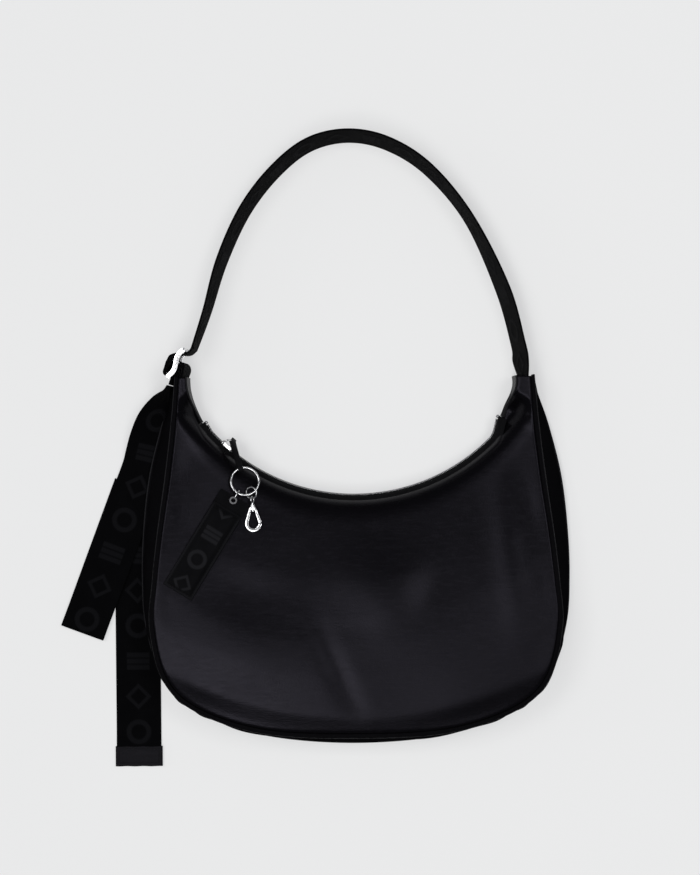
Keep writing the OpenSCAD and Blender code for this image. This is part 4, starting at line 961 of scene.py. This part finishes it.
def build():
    """Every piece of the bag."""
    front, lining = front_leather()
    dress(front, LEATHER, "bag", "leather", "front_panel")
    dress(lining, LINING, "bag", "lining", "lining_front")
    side, g, normals, across = gusset_leather()
    dress(side, LEATHER_SIDE_PAINTED_LIGHT, "bag", "leather", "gusset")
    dress(back_leather(), LEATHER, "bag", "leather", "back_panel")

    def seam_line(at, lift):
        """Points on the gusset at a distance from its front edge, raised by the lift, and their normals."""
        rows, every = np.arange(g.shape[1]), np.arange(len(g))
        near = np.array([np.interp(d, across[i], rows) for i, d in enumerate(at)])
        low = np.minimum(near.astype(int), g.shape[1] - 2)
        t = (near - low)[:, None]
        n = unit(normals[every, low] * (1 - t) + normals[every, low + 1] * t)
        return g[every, low] * (1 - t) + g[every, low + 1] * t + n * lift, n
    dress(thread("seam_stitches", *seam_line(0 * across[:, 0] + 3.3, -0.35)), THREAD, "bag", "webbing")
    # Thin tubes along both seams in the paler leather: painted highlights on the seam ridges.
    dress(tube("front_ridge", seam_line(0 * across[:, 0] + 1.6, 0.1)[0], 0.65), LEATHER_PAINTED_GLINT, "bag", "leather")
    dress(tube("back_ridge", seam_line(across[:, -1] - 1.3, 0.7)[0], 0.75), LEATHER_PAINTED_GLINT, "bag", "leather")
    # The tip covers take the same paler leather: a painted highlight along the tips' inner sides.
    for sign, word in ((1, "right"), (-1, "left")):
        dress(tip_cover("tip_leather_" + word, sign), LEATHER_PAINTED_GLINT, "bag", "leather", "tip_cover_" + word)
    dress(zip_tape("zip_tape_top", 1), TAPE, "bag", "zip_tape", "zipper_tape_front")
    dress(zip_tape("zip_tape_low", -1), TAPE, "bag", "zip_tape", "zipper_tape_back")
    dress(teeth("zip_teeth_top", 1), GUNMETAL, "bag", "zip_teeth", "zipper_teeth_front")
    dress(teeth("zip_teeth_low", -1), GUNMETAL, "bag", "zip_teeth", "zipper_teeth_back")
    dress(zip_stops(), GUNMETAL, "bag", "steel", "zipper_stops")
    dress(strap_wrap(), WEBBING, "bag", "webbing", "strap_wrap")
    dress(tip_loop(), WEBBING, "bag", "webbing", "buckle_loop")
    dress(strap_tail(), WEBBING, "bag", "webbing", "strap_tail", "strap_tail_return")
    cap, cap_thread = end_cap()
    # The end cap is in the paler leather, a painted highlight.
    dress(cap, LEATHER_PAINTED_HIGHLIGHT, "bag", "leather", "strap_end_cap")
    dress(cap_thread, THREAD, "bag", "webbing")
    arch = strap_arch()
    dress(arch, WEBBING, None, "webbing", "shoulder_strap", "strap_root_right", "strap_root_left")
    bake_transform(arch)
    # The pull is in the paler leather, a painted highlight.
    dress(pull_loop(), LEATHER_PAINTED_HIGHLIGHT, "pull", "leather", "pull_loop")
    pad, pad_thread = fob_pad()
    dress(pad, FOB_WEB, "fob", "webbing", "key_fob")
    dress(pad_thread, THREAD, "fob", "webbing")
    for name, node, body, bevel, metal in (("slide_polished", "slide_buckle", "bag", 0.45, CHROME),
                                           ("slider_polished", "slider_body", "slider", 0.3, NICKEL),
                                           ("clasp_polished", "clasp_body", "clasp", 0.8, CHROME),
                                           ("gate_polished", "clasp_gate", "gate", 0.5, CHROME)):
        dress(cad_copy(name, node, bevel), metal, body, "steel", node)
    kept = {"steel": CHROME, "lining": LINING, "webbing": WEBBING, "leather": LEATHER}
    own = {"fob_eyelet": DARK_METAL, "slider_bail": NICKEL}
    slots = {sp["node"]: sp["material_slot"] for sp in frame["record"]["subparts"]}
    for name, node in nodes.items():
        if not node.hide_render:
            node.data.materials.clear()
            node.data.materials.append(own.get(name, kept[slots[name]]))
            node.data.shade_smooth()
            node.data.set_sharp_from_angle(angle=math.radians(35))


def studio():
    """Pale floor, soft lights and the camera straight above."""
    half, drop = 4.0, 0.0004
    mesh = bpy.data.meshes.new("floor")
    mesh.from_pydata([(x * half, y * half, -drop) for x, y in ((-1, -1), (1, -1), (1, 1), (-1, 1))], [], [(0, 1, 2, 3)])
    floor = put("floor", mesh)
    s = Shader("floor", Roughness=0.9, Specular_IOR_Level=0.0, Emission_Color=(0.985, 0.99, 1, 1),
               Emission_Strength=0.5)
    # The floor's colour is a little darker on the left than on the right: painted shade that cancels the stronger lamps
    # on the left, so the floor reads evenly bright.
    across = s.ramp(s.axes("Object")["X"], -0.35, 0.35, 0.0, 1.0)
    mesh.materials.append(s.finish(Base_Color=s.colour(across, (0.335, 0.335, 0.331), (0.36, 0.36, 0.356))))
    world = bpy.data.worlds.new("studio")
    bpy.context.scene.world = world
    world.use_nodes = True
    sky = world.node_tree.nodes["Background"].inputs
    sky["Color"].default_value, sky["Strength"].default_value = (0.93, 0.95, 1.0, 1), 0.15
    for name, place, turn, wide, deep, power in (("low_left", (-0.62, -1.0, 4.0), 0, 0.9, 2.2, 54),
                                                 ("low_right", (0.42, -1.0, 4.0), 0, 1.18, 2.2, 12),
                                                 ("left", (-1.65, 0.85, 4.0), 0, 1.7, 1.6, 55),
                                                 ("right", (1.35, 0.85, 4.0), 0, 1.2, 1.6, 47),
                                                 ("side", (-3.0, 0.3, 1.4), -65, 1.0, 1.0, 5)):
        light = bpy.data.lights.new("light_" + name, "AREA")
        light.shape, light.size, light.size_y, light.energy = "RECTANGLE", wide, deep, power
        lamp = put("light_" + name, light)
        lamp.location, lamp.rotation_euler = place, (0, math.radians(turn), 0)
    camera = bpy.data.cameras.new("camera")
    camera.lens, camera.sensor_width, camera.sensor_fit = 91.96, 36.0, "AUTO"
    eye = put("camera", camera)
    eye.location, eye.rotation_euler = (-0.0041, 0.1381, 1.9), (0, 0, math.radians(-0.35))
    bpy.context.scene.camera = eye
    bpy.context.scene.view_settings.view_transform = "Standard"


build()
studio()
